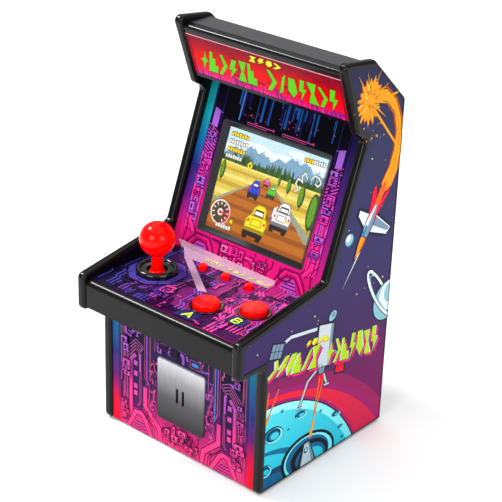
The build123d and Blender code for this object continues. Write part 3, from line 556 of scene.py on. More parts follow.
film_finishes = {
    "front_art": banded(
        "front_film",
        "Z",
        1.0,
        52.0,
        [
            (0.0, linear("f53a80")),
            (0.12, linear("dc2c76")),
            (0.27, linear("8c2070")),
            (0.42, linear("4a1c5a")),
            (0.7, linear("2c2050")),
            (1.0, linear("201c3c")),
        ],
    ),
    "control_art": banded(
        "deck_film",
        "X",
        -35.0,
        35.0,
        [
            (0.0, linear("1c1640")), (0.35, linear("4a1860")), (0.6, linear("9a1a72")),
            (1.0, linear("d0247f")),
        ],
    ),
    "fascia_art": banded(
        "fascia_film",
        "Z",
        62.0,
        120.0,
        [
            (0.0, linear("e8187a")),
            (0.3, linear("d4167a")),
            (0.5, linear("74146a")),
            (0.72, linear("221046")),
            (0.85, linear("080818")),
            (1.0, linear("05060e")),
        ],
    ),
    "marquee_panel": banded(
        "marquee_film",
        "Z",
        127.0,
        143.5,
        [
            (0.0, linear("ff1f6c")), (0.3, linear("ff1040")), (0.55, linear("f00a10")),
            (0.85, linear("b00a1c")), (1.0, linear("8e1430")),
        ],
    ),
    "side_art_left": banded(
        "side_film",
        "Z",
        0.0,
        150.0,
        [
            (0.0, linear("8c1860")),
            (0.2, linear("741c60")),
            (0.33, linear("422a60")),
            (0.5, linear("3a3468")),
            (0.75, linear("383860")),
            (1.0, linear("2c3050")),
        ],
    ),
}
film_finishes["side_art_right"] = film_finishes["side_art_left"]
for node, look in film_finishes.items():
    nodes[node].data.materials.clear()
    nodes[node].data.materials.append(look.material)

# ------------------------------------------------------------------ artwork on the printed films

X, Y, Z = Vector((1, 0, 0)), Vector((0, 1, 0)), Vector((0, 0, 1))
LEAN = math.radians(19.6)
MARQUEE_LEAN = math.radians(20.3)
slope_up = Vector((0, math.sin(LEAN), math.cos(LEAN)))
marquee_up = Vector((0, -math.sin(MARQUEE_LEAN), math.cos(MARQUEE_LEAN)))


def extent(node):
    """A part's lowest and highest corners in millimetres."""
    low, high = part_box(node)
    return low / MM, high / MM


def box(left, low, right, high):
    return [(left, low), (right, low), (right, high), (left, high)]


def through(a, b, c):
    """Centre and radius of the circle through three places."""
    ax, ay = b[0] - a[0], b[1] - a[1]
    bx, by = c[0] - a[0], c[1] - a[1]
    d = 2 * (ax * by - ay * bx)
    ux = (by * (ax * ax + ay * ay) - ay * (bx * bx + by * by)) / d
    uy = (ax * (bx * bx + by * by) - bx * (ax * ax + ay * ay)) / d
    return (a[0] + ux, a[1] + uy), math.hypot(ux, uy)


def circuitry(art, inks_used, area_box, count, seed, sizes, widths, holes=()):
    """Short angular tracks and pads scattered over an area, clear of the round holes."""
    rng = random.Random(seed)
    left, low, right, high = area_box
    for _ in range(count):
        x, y = rng.uniform(left, right), rng.uniform(low, high)
        heading = rng.choice((0, 90, 90, 180, 270, 270))
        points = [(x, y)]
        for _ in range(rng.randint(1, 5)):
            reach = rng.uniform(*sizes) * (0.35 if heading % 90 else 1.0)
            x += reach * math.cos(math.radians(heading))
            y += reach * math.sin(math.radians(heading))
            points.append((x, y))
            heading += rng.choice((-45, 45))
        steps = [
            (a[0] + (b[0] - a[0]) * t / 6, a[1] + (b[1] - a[1]) * t / 6)
            for a, b in zip(points, points[1:])
            for t in range(7)
        ]
        if any(math.hypot(px - hx, py - hy) < r + 0.8 for px, py in steps for hx, hy, r in holes):
            continue
        if any(not (left <= px <= right and low <= py <= high) for px, py in steps):
            continue
        width = rng.uniform(*widths)
        fill = rng.choice(inks_used.split())
        if rng.random() < 0.5:
            art.track(fill, points, width, 0.18)
        else:
            art.stroke(rng.choice((fill, art.line)), points, width * 0.6)
        if rng.random() < 0.35:
            art.disc(fill, points[-1], width * 0.8 + 0.15, steps=6)


def bundles(art, inks_used, area_box, gap, seed, holes):
    """Side-by-side tracks that run up an area and step aside together, clear of the round holes."""
    rng = random.Random(seed)
    left, low, right, high = area_box
    x = left
    while x < right:
        count = rng.randint(2, 4)
        fill = rng.choice(inks_used.split())
        wide = rng.uniform(0.35, 0.6) * gap
        here, y = x, low + rng.uniform(0, 6)
        corners = [(here, y)]
        while y < high:
            y += rng.uniform(3.0, 9.0)
            corners.append((here, y))
            aside = rng.choice((-1, 1)) * rng.uniform(1.0, 3.0)
            here += aside
            y += abs(aside)
            corners.append((here, y))
        for track in range(count):
            for ink, width in ((art.line, wide + 0.45), (fill, wide)):
                art.rise += art.step
                for a, b in zip(corners, corners[1:]):
                    parts = max(1, round(math.dist(a, b) / 1.2))
                    for index in range(parts):
                        ends = [
                            (a[0] + (b[0] - a[0]) * t + track * gap, a[1] + (b[1] - a[1]) * t)
                            for t in (index / parts, (index + 1) / parts)
                        ]
                        if all(math.dist(end, (hx, hy)) > r + 1.0 for end in ends for hx, hy, r in holes):
                            art.stroke(ink, ends, width, lift=False)
        x += (count + rng.uniform(0.6, 2.0)) * gap


def pads(art, inks_used, area_box, count, seed, holes=()):
    """Square blocks with a dark edge and a few contact lines, clear of the round holes."""
    rng = random.Random(seed)
    left, low, right, high = area_box
    for _ in range(count):
        wide, tall = rng.uniform(1.6, 4.6), rng.uniform(1.4, 4.0)
        x, y = rng.uniform(left, right - wide), rng.uniform(low, high - tall)
        reach = math.hypot(wide, tall) / 2 + 0.8
        if any(math.dist((x + wide / 2, y + tall / 2), (hx, hy)) < r + reach for hx, hy, r in holes):
            continue
        fill = rng.choice(inks_used.split())
        art.bar(art.line, x, y, wide, tall)
        art.bar(fill, x + 0.3, y + 0.3, wide - 0.6, tall - 0.6)
        for index in range(1, rng.randint(1, 4)):
            art.bar(art.line, x + 0.3, y + tall * index / 4, wide - 0.6, 0.28)
        art.bar(art.line, x + wide * 0.3, y + tall * 0.3, wide * 0.28, tall * 0.4)


GLYPHS = {
    "bolt": [(0.35, 1), (0.85, 1), (0.6, 0.58), (0.95, 0.58), (0.2, 0), (0.42, 0.42), (0.08, 0.42)],
    "dart": [(0, 0), (0.35, 0), (1, 0.5), (0.35, 1), (0, 1), (0.55, 0.5)],
    "gem": [(0.5, 0), (0.95, 0.35), (0.8, 1), (0.2, 1), (0.05, 0.35)],
    "stairs": [(0, 0), (0.95, 0), (0.95, 0.36), (0.62, 0.36), (0.62, 0.7), (0.3, 0.7), (0.3, 1), (0, 1)],
    "spark": [
        (0.5, 1), (0.64, 0.62), (1, 0.5), (0.64, 0.38), (0.5, 0), (0.36, 0.38), (0, 0.5), (0.36, 0.62),
    ],
    "blade": [(0.1, 0), (0.5, 0.12), (1, 1), (0.6, 0.86)],
    "hourglass": [(0, 0), (0.95, 0), (0.62, 0.5), (0.95, 1), (0, 1), (0.35, 0.5)],
}


def glyph_row(art, order, ink, shade, corners, shift=(-0.35, -0.4), fill=0.86, grow=0.16):
    """A row of made-up signs between four corners: foot left, foot right, head right, head left."""
    a, b, c, d = corners

    def place(s, t):
        return tuple(
            (a[i] * (1 - s) + b[i] * s) * (1 - t) + (d[i] * (1 - s) + c[i] * s) * t for i in (0, 1)
        )

    names = order.split()
    for pass_ink, dx, dy in ((shade, *shift), (ink, 0.0, 0.0)):
        for index, name in enumerate(names):
            if name == "gap":
                continue
            points = []
            for gx, gy in GLYPHS[name]:
                wide = fill * (gx - 0.5) * (1 + grow * (index % 2)) + 0.5 + 0.16 * (gy - 0.5)
                tall = gy * (1.0 if index % 3 else 0.93)
                x, y = place((index + wide) / len(names), tall)
                points.append((x + dx, y + dy))
            art.shape(pass_ink, points)


def by_height(name, low, high, *codes, speckle=0.12, rough=0.2):
    """An ink whose colour changes with height between two levels, evenly through the colours given."""
    last = max(1, len(codes) - 1)
    stops = [(index / last, linear(code)) for index, code in enumerate(codes)]
    inks[name] = banded(name, "Z", low, high, stops, rough=rough, speckle=speckle)


# inks of the lower front
by_height("front_edge", 0, 51, "ff0a2a", "e80a3c", "6a1a78", "2c3480", "1b6496", "1c94a2")
by_height("front_edge_dim", 0, 51, "f02050", "a81a60", "4c1866", "22245c", "174068", "1a6276")
by_height("front_track", 0, 51, "ff3f88", "ff3f88", "e23a90", "b846a8", "9a5cc0", "8450ac")
by_height("front_thin", 0, 51, "ff5a98", "f04a90", "d2508c", "c05c86", "b25a80", "8a4670")
by_height("front_bay", 0, 51, "b01f70", "5a1660", "34134c", "241238", "1b1230", "150f28")
by_height("front_dark", 0, 51, "6a0f4a", "3a0c42", "240c34", "180c28")
by_height("front_lilac", 0, 51, "ff4c98", "e04aa0", "a055c6", "a064cc")
# inks of the slope
by_height("slope_edge", 63, 120, "ff1f5c", "d8208a", "6a2088", "2a2a80", "1668a8", "149ca6", "128a94")
by_height("slope_edge_right", 63, 120, "ff1f7c", "c41f86", "7a1f80", "48206e", "2c1c5c", "1c1440")
by_height("slope_track", 63, 120, "ff2a8a", "ff2f92", "f02e98", "c23aa8", "8a4ab8", "3c3a8c")
by_height("slope_thin", 63, 120, "ff7ab4", "ff62ac", "f0529c", "d84a90", "c04484", "a03c78")
by_height("slope_dark", 63, 120, "6a0a4c", "5a0a52", "340a48", "160a2c", "05060e")
by_height("slope_night", 63, 122, "0a0716", "07060f")
by_height("slope_violet", 63, 120, "c050c8", "a860d0", "9058c4")
by_height("slope_blue", 63, 120, "3a2a80", "1f3c8c", "1c5aa6")
by_height("slope_indigo", 63, 120, "3a1460", "2a1458", "1c1450")
# inks of the marquee
by_height("marquee_purple", 127, 143, "a01f8c", "6a1a74", "4a1650")
by_height("marquee_pink", 127, 143, "ff2a92", "ff1a60")
by_height("marquee_end", 127, 143, "a00c30", "b00a20", "7a1028")
by_height("marquee_shade", 127, 143, "5a0a20", "4a0814")
by_height("marquee_pane", 127, 143, "ff1a64", "ff0a34", "ff0610", "dc0410", "a80820", "78102c")
by_height("marquee_light", 127, 147, "ff7a8a", "ffb0b8")
# inks of the side
by_height("side_glow", 0, 50, "b01c64", "a01c62", "84225e")
by_height("side_ring", 0, 45, "d81c50", "e81f44", "ff2338")
by_height("planet_body", 0, 35, "1cc6e2", "38d4ea", "5ae8f6")
by_height("planet_light", 0, 35, "6ef2fc", "8cfbff", "aafeff")
by_height("planet_deep", 0, 35, "0a5c8c", "0e74a0", "148cb4")
by_height("planet_line", 0, 40, "02121e", "041a2a")
by_height("metal_light", 0, 150, "b8ccd8", "dfe9ee", "e8f0f2")
by_height("metal_mid", 0, 150, "6f8ba6", "7f9ab2", "8aa4b8")
by_height("metal_line", 0, 150, "1b2438", "202a40")
# inks of the deck
inks["deck_pink"] = banded(
    "deck_pink", "X", -35, 35, [(0, linear("8a3aa0")), (0.45, linear("e0409c")), (1, linear("ff4aa4"))]
)
inks["deck_violet"] = banded(
    "deck_violet", "X", -35, 35, [(0, linear("4a3a98")), (0.5, linear("9040b0")), (1, linear("c050c0"))]
)
inks["deck_dark"] = banded(
    "deck_dark", "X", -35, 35, [(0, linear("140e2a")), (0.6, linear("2c0c40")), (1, linear("4a0c50"))]
)
inks["deck_blue"] = even_ink("deck_blue", "3a3a9a")
inks["deck_navy"] = even_ink("deck_navy", "1e1e5c")
inks["deck_sign"] = even_ink("deck_sign", "d8ff1e")
inks["deck_pale_sign"] = even_ink("deck_pale_sign", "e6f02c")
inks["sky_line"] = even_ink("sky_line", "4a7fd0")
# painted shade for the dark inside of the coin slots
inks["slot_painted_shade"] = even_ink("slot_painted_shade", "020203")
# painted highlight: a pale, partly see-through ink for bands of glare on the deck and slope
painted_glare = even_ink("painted_glare", "ffc8e8")
painted_glare.put("Alpha", painted_glare.span(painted_glare.noise(0.3), 0.3, 0.7, 0.34, 0.42))
inks["painted_glare"] = painted_glare

front_low, front_high = extent("front_art")
HALF = front_high.x
NOSE_FLOOR = extent("control_deck")[0].z


def front_artwork():
    art = Artwork("front_print", (0, front_low.y, 0), X, Z, [box(-HALF, front_low.z, HALF, NOSE_FLOOR)])
    art.line = "front_dark"
    foot = front_low.z
    art.mirror = True
    art.bar("front_edge_dim", HALF - 4.4, foot, 2.0, 52)
    art.bar("front_edge", HALF - 3.1, foot, 3.1, 52)
    art.shape("front_bay", [(18.4, 52), (18.4, 13), (20, 10), (24.4, 9.6), (29.6, 5), (29.8, 52)])
    for x in (30.3, 29.4, 28.9):
        art.stroke("front_thin", [(x, 51), (x, 7), (x - 1.6, foot)], 0.24)
    for step in range(4):
        left = 28.2 - 0.85 * step
        art.stroke(
            "front_thin" if step % 2 else "front_track",
            [
                (left, 5 + step),
                (left, 33.4 - 0.6 * step),
                (22.9, 38.9 - 1.3 * step),
                (19.3 + 0.7 * step, 37.2 - 0.9 * step),
                (19.3 + 0.7 * step, 35.6 - 0.9 * step),
            ],
            0.3,
        )
    art.track("front_track", [(25.4, 3.5), (25.4, 29.6), (23.0, 32.6)], 1.5)
    art.stroke("front_lilac", [(20.8, 33.5), (20.8, 26)], 1.1)
    for z in (28.0, 23.6, 18.4, 15.4):
        art.bar("front_dark", 21.9, z - 0.5, 2.2, 3.0)
        art.bar("front_lilac", 22.1, z, 1.8, 2.0)
    for x in (19.5, 21.3, 24.1):
        art.stroke("front_dark", [(x, 31), (x, 11.5)], 0.3)
    for x in (20.2, 20.9):
        art.stroke("front_thin", [(x, 26), (x, 13), (x + 1.2, 11.4)], 0.2)
    art.track("front_lilac", [(17.3, 51), (17.3, 24), (16.6, 22)], 0.5, 0.25)
    for x in (18.4, 16.0, 15.4):
        art.stroke("front_thin", [(x, 46), (x, 24)], 0.18)
    art.track("front_track", [(18.1, 20.5), (18.1, 12.6), (11.0, 6.2), (10.2, foot)], 1.9)
    art.stroke("front_thin", [(15.6, 23), (15.6, 12.9), (13.2, 10.8)], 0.25)
    for shift in (0, 1.1):
        art.stroke(
            "front_dark", [
                (14.2 - shift, foot), (14.6 - shift, 5.2), (19.6, 10.4 + shift * 0.3), (20.4, 13),
            ], 0.3
        )
    art.track("front_track", [(14.8, foot), (18.6, 7.3), (20.2, 8.7), (23.0, 8.3), (26.8, foot)], 1.7)
    art.shape("front_bay", [(16.9, foot), (19.5, 5.4), (22.4, 5.6), (24.6, foot)])
    for step in range(4):
        z = foot + 0.7 + 1.2 * step
        art.stroke("front_lilac", [(17.6 + 0.55 * step, z), (24.1 - 0.42 * step, z)], 0.34)
    art.track("front_track", [(28.6, foot), (29.2, 5), (29.2, 12)], 0.8, 0.2)
    # painted shade: a black patch on the film behind the coin slots, standing in for the dark inside of the
    # slots
    art.bar("slot_painted_shade", 0, 19.6, 3.4, 9.2)
    # foot of the panel between the two tracks
    for inset in (0.0, 0.8):
        art.stroke("front_dark", [(7.6 - inset, foot), (7.6 - inset, 7), (5.2 - inset, 9.6)], 0.22)
    art.stroke("front_dark", [(3.0, foot), (3.0, 4.4), (4.4, 5.6), (4.4, 9.4)], 0.25)
    art.mirror = False
    for edges in ((-3.4, 6.2, 3.4, 9.6), (-2.0, 3.4, 2.0, 6.0), (-1.0, 7.2, 1.0, 8.8)):
        art.stroke("front_dark", box(*edges), 0.26, closed=True)
    # the small block diagrams over the plate
    art.shape("front_lilac", [(-12.6, 42.4), (-4.4, 42.0), (-4.4, 40.4), (-6.6, 39.0), (-12.6, 39.4)])
    art.stroke(
        "front_thin", [(-13.3, 37.5), (-13.3, 43.4), (-3.6, 43.0), (-3.6, 39.8), (-5.4, 38.3)], 0.24
    )
    art.shape("front_lilac", [(-1.4, 37.6), (1.2, 37.6), (1.2, 41.0), (-0.2, 42.2), (-1.4, 41.0)])
    art.bar("sky_line", 4.8, 38.9, 3.2, 1.4)
    art.stroke("front_thin", box(4.0, 38.0, 8.8, 41.2), 0.24, closed=True)
    art.stroke("front_thin", [(9.6, 37.6), (9.6, 42.6), (12.8, 42.6), (12.8, 30), (11.8, 29)], 0.26)
    circuitry(
        art, "front_lilac front_thin front_bay", (-13.5, 37.4, 13.8, 47), 34, 3, (0.7, 2.6), (0.3, 0.9)
    )
    circuitry(
        art, "front_track front_thin front_lilac", (12.0, 12, 15.4, 36), 60, 5, (0.5, 1.8), (0.25, 0.6)
    )
    circuitry(art, "front_track front_thin", (-15.4, 12, -12.0, 36), 34, 6, (0.5, 1.8), (0.25, 0.6))
    circuitry(art, "front_lilac front_thin", (-28.5, 38.5, -19.5, 49), 26, 8, (0.8, 2.8), (0.3, 1.1))
    circuitry(art, "front_lilac front_thin", (19.5, 38.5, 30.0, 47), 26, 9, (0.8, 2.8), (0.3, 1.1))
    art.stroke("sky_line", [(16.4, 51), (16.4, 21)], 0.5)
    for left, right in ((-30.2, -26.4), (26.4, 30.2), (-17.0, -12.2), (12.2, 17.0)):
        circuitry(
            art,
            "front_dark front_thin",
            (left, 1.5, right, 36),
            26,
            int(left) + 90,
            (1.0, 4.0),
            (0.2, 0.4),
        )
    circuitry(art, "front_dark", (-10, 1.2, 10, 10.8), 22, 71, (0.8, 3.4), (0.2, 0.35))
    pads(art, "front_track front_thin", (-9, 1.2, 9, 10.8), 12, 72)
    pads(art, "front_lilac front_bay", (-14, 37.5, 14, 50), 16, 73)
    for left, right in ((-31, -24), (24, 31)):
        pads(art, "front_track front_lilac", (left, 4, right, 48), 12, int(left) + 80)
    return art.finish("cabinet", "printed_film")


SLOPE_FOOT = (0, extent("control_art")[1].y, extent("control_art")[1].z)
SLOPE_LENGTH = (extent("fascia_art")[1].z - SLOPE_FOOT[2]) / math.cos(LEAN)


def slope_artwork():
    top = SLOPE_LENGTH
    art = Artwork("slope_print", SLOPE_FOOT, X, slope_up, [box(-HALF, 0.02, HALF, top)])
    art.line = "slope_dark"
    art.bar("slope_edge", -HALF, 0, 3.4, top)
    art.bar("slope_edge_right", HALF - 3.6, 0, 3.6, top)
    # night city over the screen
    art.bar("slope_night", -30.5, 51.2, 61, top - 51.2)
    rng = random.Random(21)
    for _ in range(70):
        x = rng.uniform(-31, 31)
        drop = rng.uniform(3.0, 14.8)
        ink = rng.choice(("slope_blue", "slope_indigo", "slope_dark", "slope_indigo", "slope_blue"))
        wide = rng.uniform(0.15, 0.8)
        art.bar(ink, x, top - drop, wide, drop)
    for x, low, wide in (
        (-29.9, 54.6, 2.1), (-18.7, 51.6, 0.5), (-9.2, 53.2, 1.0), (-5.6, 53.0, 0.6), (1.8, 53.6, 0.9),
    ):
        art.bar("sky_line" if wide < 0.55 else "slope_blue", x, low, wide, top - low)
    for _ in range(26):
        x, v = rng.uniform(-24, 24), rng.uniform(52.0, 57)
        art.bar("slope_thin", x, v, rng.uniform(0.25, 0.9), rng.uniform(0.2, 0.5))
    for start, end in ((-14.4, -2.0), (2.0, 16.2)):
        art.stroke("slope_thin", [(start, 51.9), (end, 51.7)], 0.34)
        art.stroke("slope_thin", [(start, 51.2), (end - 3, 51.0)], 0.2)
        art.bar("slope_thin", end - 0.2, 51.4, 0.5, 0.9)
    art.mirror = True
    # tall blocks beside the screen
    art.shape("slope_dark", [(25.7, 31), (31.2, 34), (31.2, top), (25.7, top)])
    art.shape("slope_violet", [(27.3, 46.4), (30.1, 47.0), (30.1, 53.6), (27.3, 52.8)])
    for x in (26.4, 30.8):
        art.stroke("slope_indigo", [(x, top), (x, 47)], 0.5)
    art.shape("slope_track", [(26.0, 34.5), (31.0, 37.4), (31.0, 46.2), (26.0, 43.6)])
    for step in range(7):
        art.stroke("slope_dark", [(25.8, 35.4 + 1.25 * step), (31.2, 38.3 + 1.25 * step)], 0.5)
    art.stroke("slope_thin", [(25.9, 44.6), (31.1, 47.3)], 0.28)
    art.bar("slope_track", 26.0, 52.2, 1.2, 0.35)
    art.bar("slope_track", 28.6, 45.0, 0.5, 1.8)
    # rails that run down beside the bezel
    art.shape("slope_track", [(26.0, 7.6), (31.2, 7.6), (31.2, 37.0), (26.0, 34.2)])
    for x, head in ((26.3, 33), (27.4, 34), (30.2, 36), (31.3, 37)):
        art.stroke("slope_dark", [(x, head), (x, 9.5), (x - 1.4, 7.2)], 0.28)
    art.track("slope_track", [(28.8, 33.5), (28.8, 10.5), (26.2, 7.0)], 1.5, 0.3)
    for v in (12.4, 19.0, 26.6, 31.8):
        art.bar("slope_dark", 27.6, v, 2.5, 0.4)
    for v, tall in ((14.0, 3.2), (21.0, 2.0), (28.2, 2.6)):
        art.bar("slope_violet", 26.5, v, 0.75, tall)
        art.bar("slope_violet", 30.4, v + 2.5, 0.7, tall * 0.7)
    # panelling below the bezel
    for inset, ink in ((0.0, "slope_dark"), (0.9, "slope_track"), (2.1, "slope_dark")):
        art.stroke(
            ink,
            [
                (13.6 + inset, 0),
                (16.0 + inset, 4.4 - inset * 0.4),
                (17.8 + inset * 0.7, 7.0 - inset),
                (24.2 - inset * 0.6, 7.3 - inset),
                (27.0 - inset, 4.4 - inset * 0.5),
                (29.4 - inset, 0),
            ],
            0.45,
        )
    art.shape("slope_violet", [(17.6, 0), (19.4, 4.0), (23.4, 4.2), (25.2, 0)])
    for step in range(3):
        art.stroke(
            "slope_dark",
            [(18.2 + step * 0.6, 0.8 + 1.2 * step), (24.9 - step * 0.6, 0.8 + 1.2 * step)],
            0.45,
        )
    art.stroke("slope_dark", [(12.4, 8.0), (12.4, 5.6), (10.4, 3.4), (10.4, 0)], 0.35)
    art.stroke("slope_dark", [(9.2, 8.0), (9.2, 6.2), (7.4, 4.4), (7.4, 0)], 0.28)
    art.stroke("slope_dark", [(5.6, 0), (5.6, 3.8), (3.4, 6.2), (1.6, 6.2)], 0.35)
    art.stroke("slope_dark", [(3.6, 0), (3.6, 2.6), (1.4, 4.4), (0, 4.4)], 0.3)
    art.stroke("slope_thin", [(4.7, 0), (4.7, 3.3), (2.9, 5.3), (0, 5.3)], 0.25)
    art.stroke("slope_dark", [(31.6, 12), (29.4, 9.0), (30.6, 0)], 0.3)
    art.mirror = False
    for left, right in ((-31.2, -25.9), (25.9, 31.2)):
        circuitry(
            art,
            "slope_dark slope_violet",
            (left, 9.0, right, 45),
            12,
            int(left) + 90,
            (1.0, 5.0),
            (0.2, 0.7),
        )
        pads(art, "slope_track slope_violet", (left, 10.0, right, 46), 16, int(left) + 90)
    circuitry(art, "slope_dark", (-33, 0.5, 33, 8.0), 16, 77, (1.0, 5.0), (0.2, 0.4))
    pads(art, "slope_track slope_thin", (-12, 0.3, 12, 8.0), 12, 78)
    # painted highlight: a pale see-through band of glare along the foot of the slope
    art.shape("painted_glare", [(-29.5, 0.05), (-31.8, 2.6), (15.6, 1.7), (15.6, 0.05)])
    return art.finish("cabinet", "printed_film")


STICK = (extent("joystick_ball")[0] + extent("joystick_ball")[1]) / 2
PUSH = {
    name: (extent(f"button_{name}")[0] + extent(f"button_{name}")[1]) / 2
    for name in ("a", "b", "reset", "start", "volume")
}
RING_REACH = 5.6


def deck_artwork():
    low, high = extent("control_art")
    art = Artwork("deck_print", (0, 0, high.z), X, Y, [box(-HALF, low.y + 0.05, HALF, high.y - 0.02)])
    art.line = "deck_dark"
    holes = [(STICK.x, STICK.y, 7.0)]
    holes += [(PUSH[n].x, PUSH[n].y, RING_REACH) for n in ("a", "b")]
    holes += [(PUSH[n].x, PUSH[n].y, 2.0) for n in ("reset", "start", "volume")]
    # a dark strip along the front edge, under tracks that run towards the player with blocks between them
    clear = {name: PUSH[name].y - RING_REACH - 1.6 for name in ("a", "b")}
    strip = [(-35, low.y), (35, low.y), (35, clear["b"]), (PUSH["b"].x - RING_REACH, clear["b"])]
    art.shape("deck_dark", strip + [(PUSH["a"].x, min(clear.values())), (-10, clear["a"]), (-35, -25)])
    bundles(art, "deck_violet deck_blue deck_dark", (-35.4, low.y, -8, high.y), 1.7, 31, holes)
    bundles(art, "deck_pink deck_violet deck_dark", (-9, low.y, 34, high.y), 1.6, 32, holes)
    pads(art, "deck_violet deck_blue deck_dark", (-34, low.y, -8, high.y), 26, 35, holes)
    pads(art, "deck_pink deck_violet deck_dark", (-10, low.y, 34, high.y), 44, 36, holes)
    circuitry(art, "deck_pink deck_dark", (-33, low.y, 33, high.y), 90, 34, (1.2, 4.0), (0.4, 1.1), holes)
    # stepped ring round the joystick
    spot = (STICK.x, STICK.y)
    for radius, width, ink in (
        (9.4, 2.6, "deck_dark"), (9.3, 2.0, "deck_blue"), (8.6, 0.3, "deck_violet"),
        (10.7, 0.35, "deck_violet"), (11.6, 0.3, "deck_dark"),
    ):
        art.hoop(ink, spot, radius, width, steps=8, start=22.5, end=382.5)
    for turned in range(0, 360, 45):
        angle = math.radians(turned)
        inner = (spot[0] + 8.2 * math.cos(angle), spot[1] + 8.2 * math.sin(angle))
        outer = (spot[0] + 10.4 * math.cos(angle), spot[1] + 10.4 * math.sin(angle))
        art.stroke("deck_dark", [inner, outer], 0.35)
    # signs by the two action buttons
    ax, ay = PUSH["a"].x, PUSH["a"].y - 9.2
    art.shape(
        "deck_navy",
        [(ax - 4.6, ay - 2.9), (ax + 3.6, ay - 2.9), (ax + 4.2, ay + 2.7), (ax - 3.4, ay + 2.7)],
    )
    art.stroke("deck_sign", [(ax - 1.7, ay - 1.6), (ax + 0.2, ay + 1.7), (ax + 1.6, ay - 1.6)], 0.75)
    art.stroke("deck_sign", [(ax - 1.0, ay - 0.5), (ax + 1.1, ay - 0.5)], 0.6)
    bx, by = PUSH["b"].x, PUSH["b"].y - 9.2
    art.shape(
        "deck_navy",
        [(bx - 3.8, by - 2.7), (bx + 3.9, by - 2.9), (bx + 4.4, by + 2.6), (bx - 3.2, by + 2.6)],
    )
    art.stroke("deck_sign", [(bx - 1.3, by - 1.6), (bx - 1.1, by + 1.6)], 0.7)
    for low_y, tall in ((by - 1.6, 1.7), (by + 0.05, 1.55)):
        art.stroke(
            "deck_sign",
            [
                (bx - 1.3, low_y), (bx + 0.8, low_y), (bx + 1.5, low_y + tall / 2),
                (bx + 0.9, low_y + tall), (bx - 1.2, low_y + tall),
            ],
            0.6,
        )
    # painted highlight: pale see-through bands of glare across the back, meeting the band at the foot of the
    # slope
    art.shape("painted_glare", [(-28.5, 2.8), (-22.6, -3.2), (15.6, -1.2), (15.6, 2.8)])
    art.shape("painted_glare", [(-22.6, -3.3), (-18.8, -3.1), (2.4, -18.4), (-0.6, -19.8)])
    # what the three small buttons do: a turned arrow, a triangle and a loudspeaker
    y = PUSH["reset"].y + 5.9
    x = PUSH["reset"].x
    art.hoop("deck_dark", (x + 0.1, y - 0.1), 0.95, 0.75, start=40, end=330, steps=14)
    art.hoop("deck_pale_sign", (x, y), 0.95, 0.5, start=40, end=330, steps=14)
    art.shape("deck_pale_sign", [(x + 0.2, y + 0.5), (x + 1.5, y + 0.3), (x + 1.0, y + 1.5)])
    x = PUSH["start"].x
    art.shape("deck_dark", [(x - 0.9, y - 1.3), (x + 1.5, y - 0.1), (x - 0.9, y + 1.1)])
    art.shape("deck_pale_sign", [(x - 1.0, y - 1.1), (x + 1.3, y), (x - 1.0, y + 1.1)])
    x = PUSH["volume"].x
    art.shape(
        "deck_pale_sign",
        [
            (x - 1.5, y - 0.4), (x - 0.8, y - 0.4), (x, y - 1.1), (x, y + 1.1), (x - 0.8, y + 0.4),
            (x - 1.5, y + 0.4),
        ],
    )
    for radius in (0.9, 1.5):
        art.hoop("deck_pale_sign", (x, y), radius, 0.28, start=-45, end=45, steps=8)
    for x in (-14.6, -8.2, -4.0, 2.6, 6.6, 13.8):
        for step in range(2):
            line = [(x + step * 0.9 - 0.4, y - 0.9), (x + step * 0.9, y + 0.8)]
            art.stroke("deck_dark", [(px + 0.15, py - 0.2) for px, py in line], 0.6)
            art.stroke("deck_pale_sign", line, 0.46)
    return art.finish("cabinet", "printed_film")


def marquee_artwork():
    low, high = extent("marquee_panel")
    centre = (low + high) / 2
    out = X.cross(marquee_up)
    # the panel's printed face passes half its thickness in front of its middle
    face = centre + out * 0.5
    tall = 17.2
    origin = Vector((0, face.y, face.z)) - marquee_up * (tall / 2)
    art = Artwork(
        "marquee_print", origin, X, marquee_up, [box(-HALF, 0.02, HALF, tall - 0.02)], start=0.01
    )
    rng = random.Random(41)
    art.bar("marquee_pane", -HALF, 0, 2 * HALF, tall)
    art.bar("marquee_pink", -HALF, 0, 2 * HALF, 1.3)
    x = -HALF
    while x < HALF:
        wide = rng.uniform(0.3, 1.5)
        art.bar("marquee_purple", x, 0, wide, rng.uniform(0.5, 4.6 if abs(x) < 28 else 3.0))
        if rng.random() < 0.6:
            art.bar("marquee_pink", x + 0.1, 0, wide * 0.5, rng.uniform(0.5, 3.6))
        x += wide + rng.uniform(0.1, 0.9)
    for _ in range(18):
        x, v = rng.uniform(-30, 30), rng.uniform(3.5, 15.5)
        art.disc("marquee_end", (x, v), rng.uniform(0.8, 2.4), steps=5, squash=0.35)
    for side in (-1, 1):
        art.bar("marquee_end", side * HALF - (0 if side < 0 else 1.4), 0, 1.4, 18)
    glyph_row(
        art,
        "spark stairs dart bolt hourglass stairs gap dart blade gem bolt hourglass dart bolt",
        "ink_green",
        "marquee_shade",
        ((-31.8, 2.9), (32.4, 2.6), (31.6, 11.6), (-29.6, 11.9)),
    )
    glyph_row(
        art,
        "hourglass bolt gem dart",
        "ink_yellow",
        "marquee_shade",
        ((-6.2, 13.1), (8.6, 13.1), (8.8, 15.8), (-5.8, 15.8)),
        shift=(-0.2, -0.25),
    )
    art.bar("marquee_light", -HALF, tall - 0.4, 2 * HALF, 0.4)
    return art.finish("cabinet", "marquee_print")


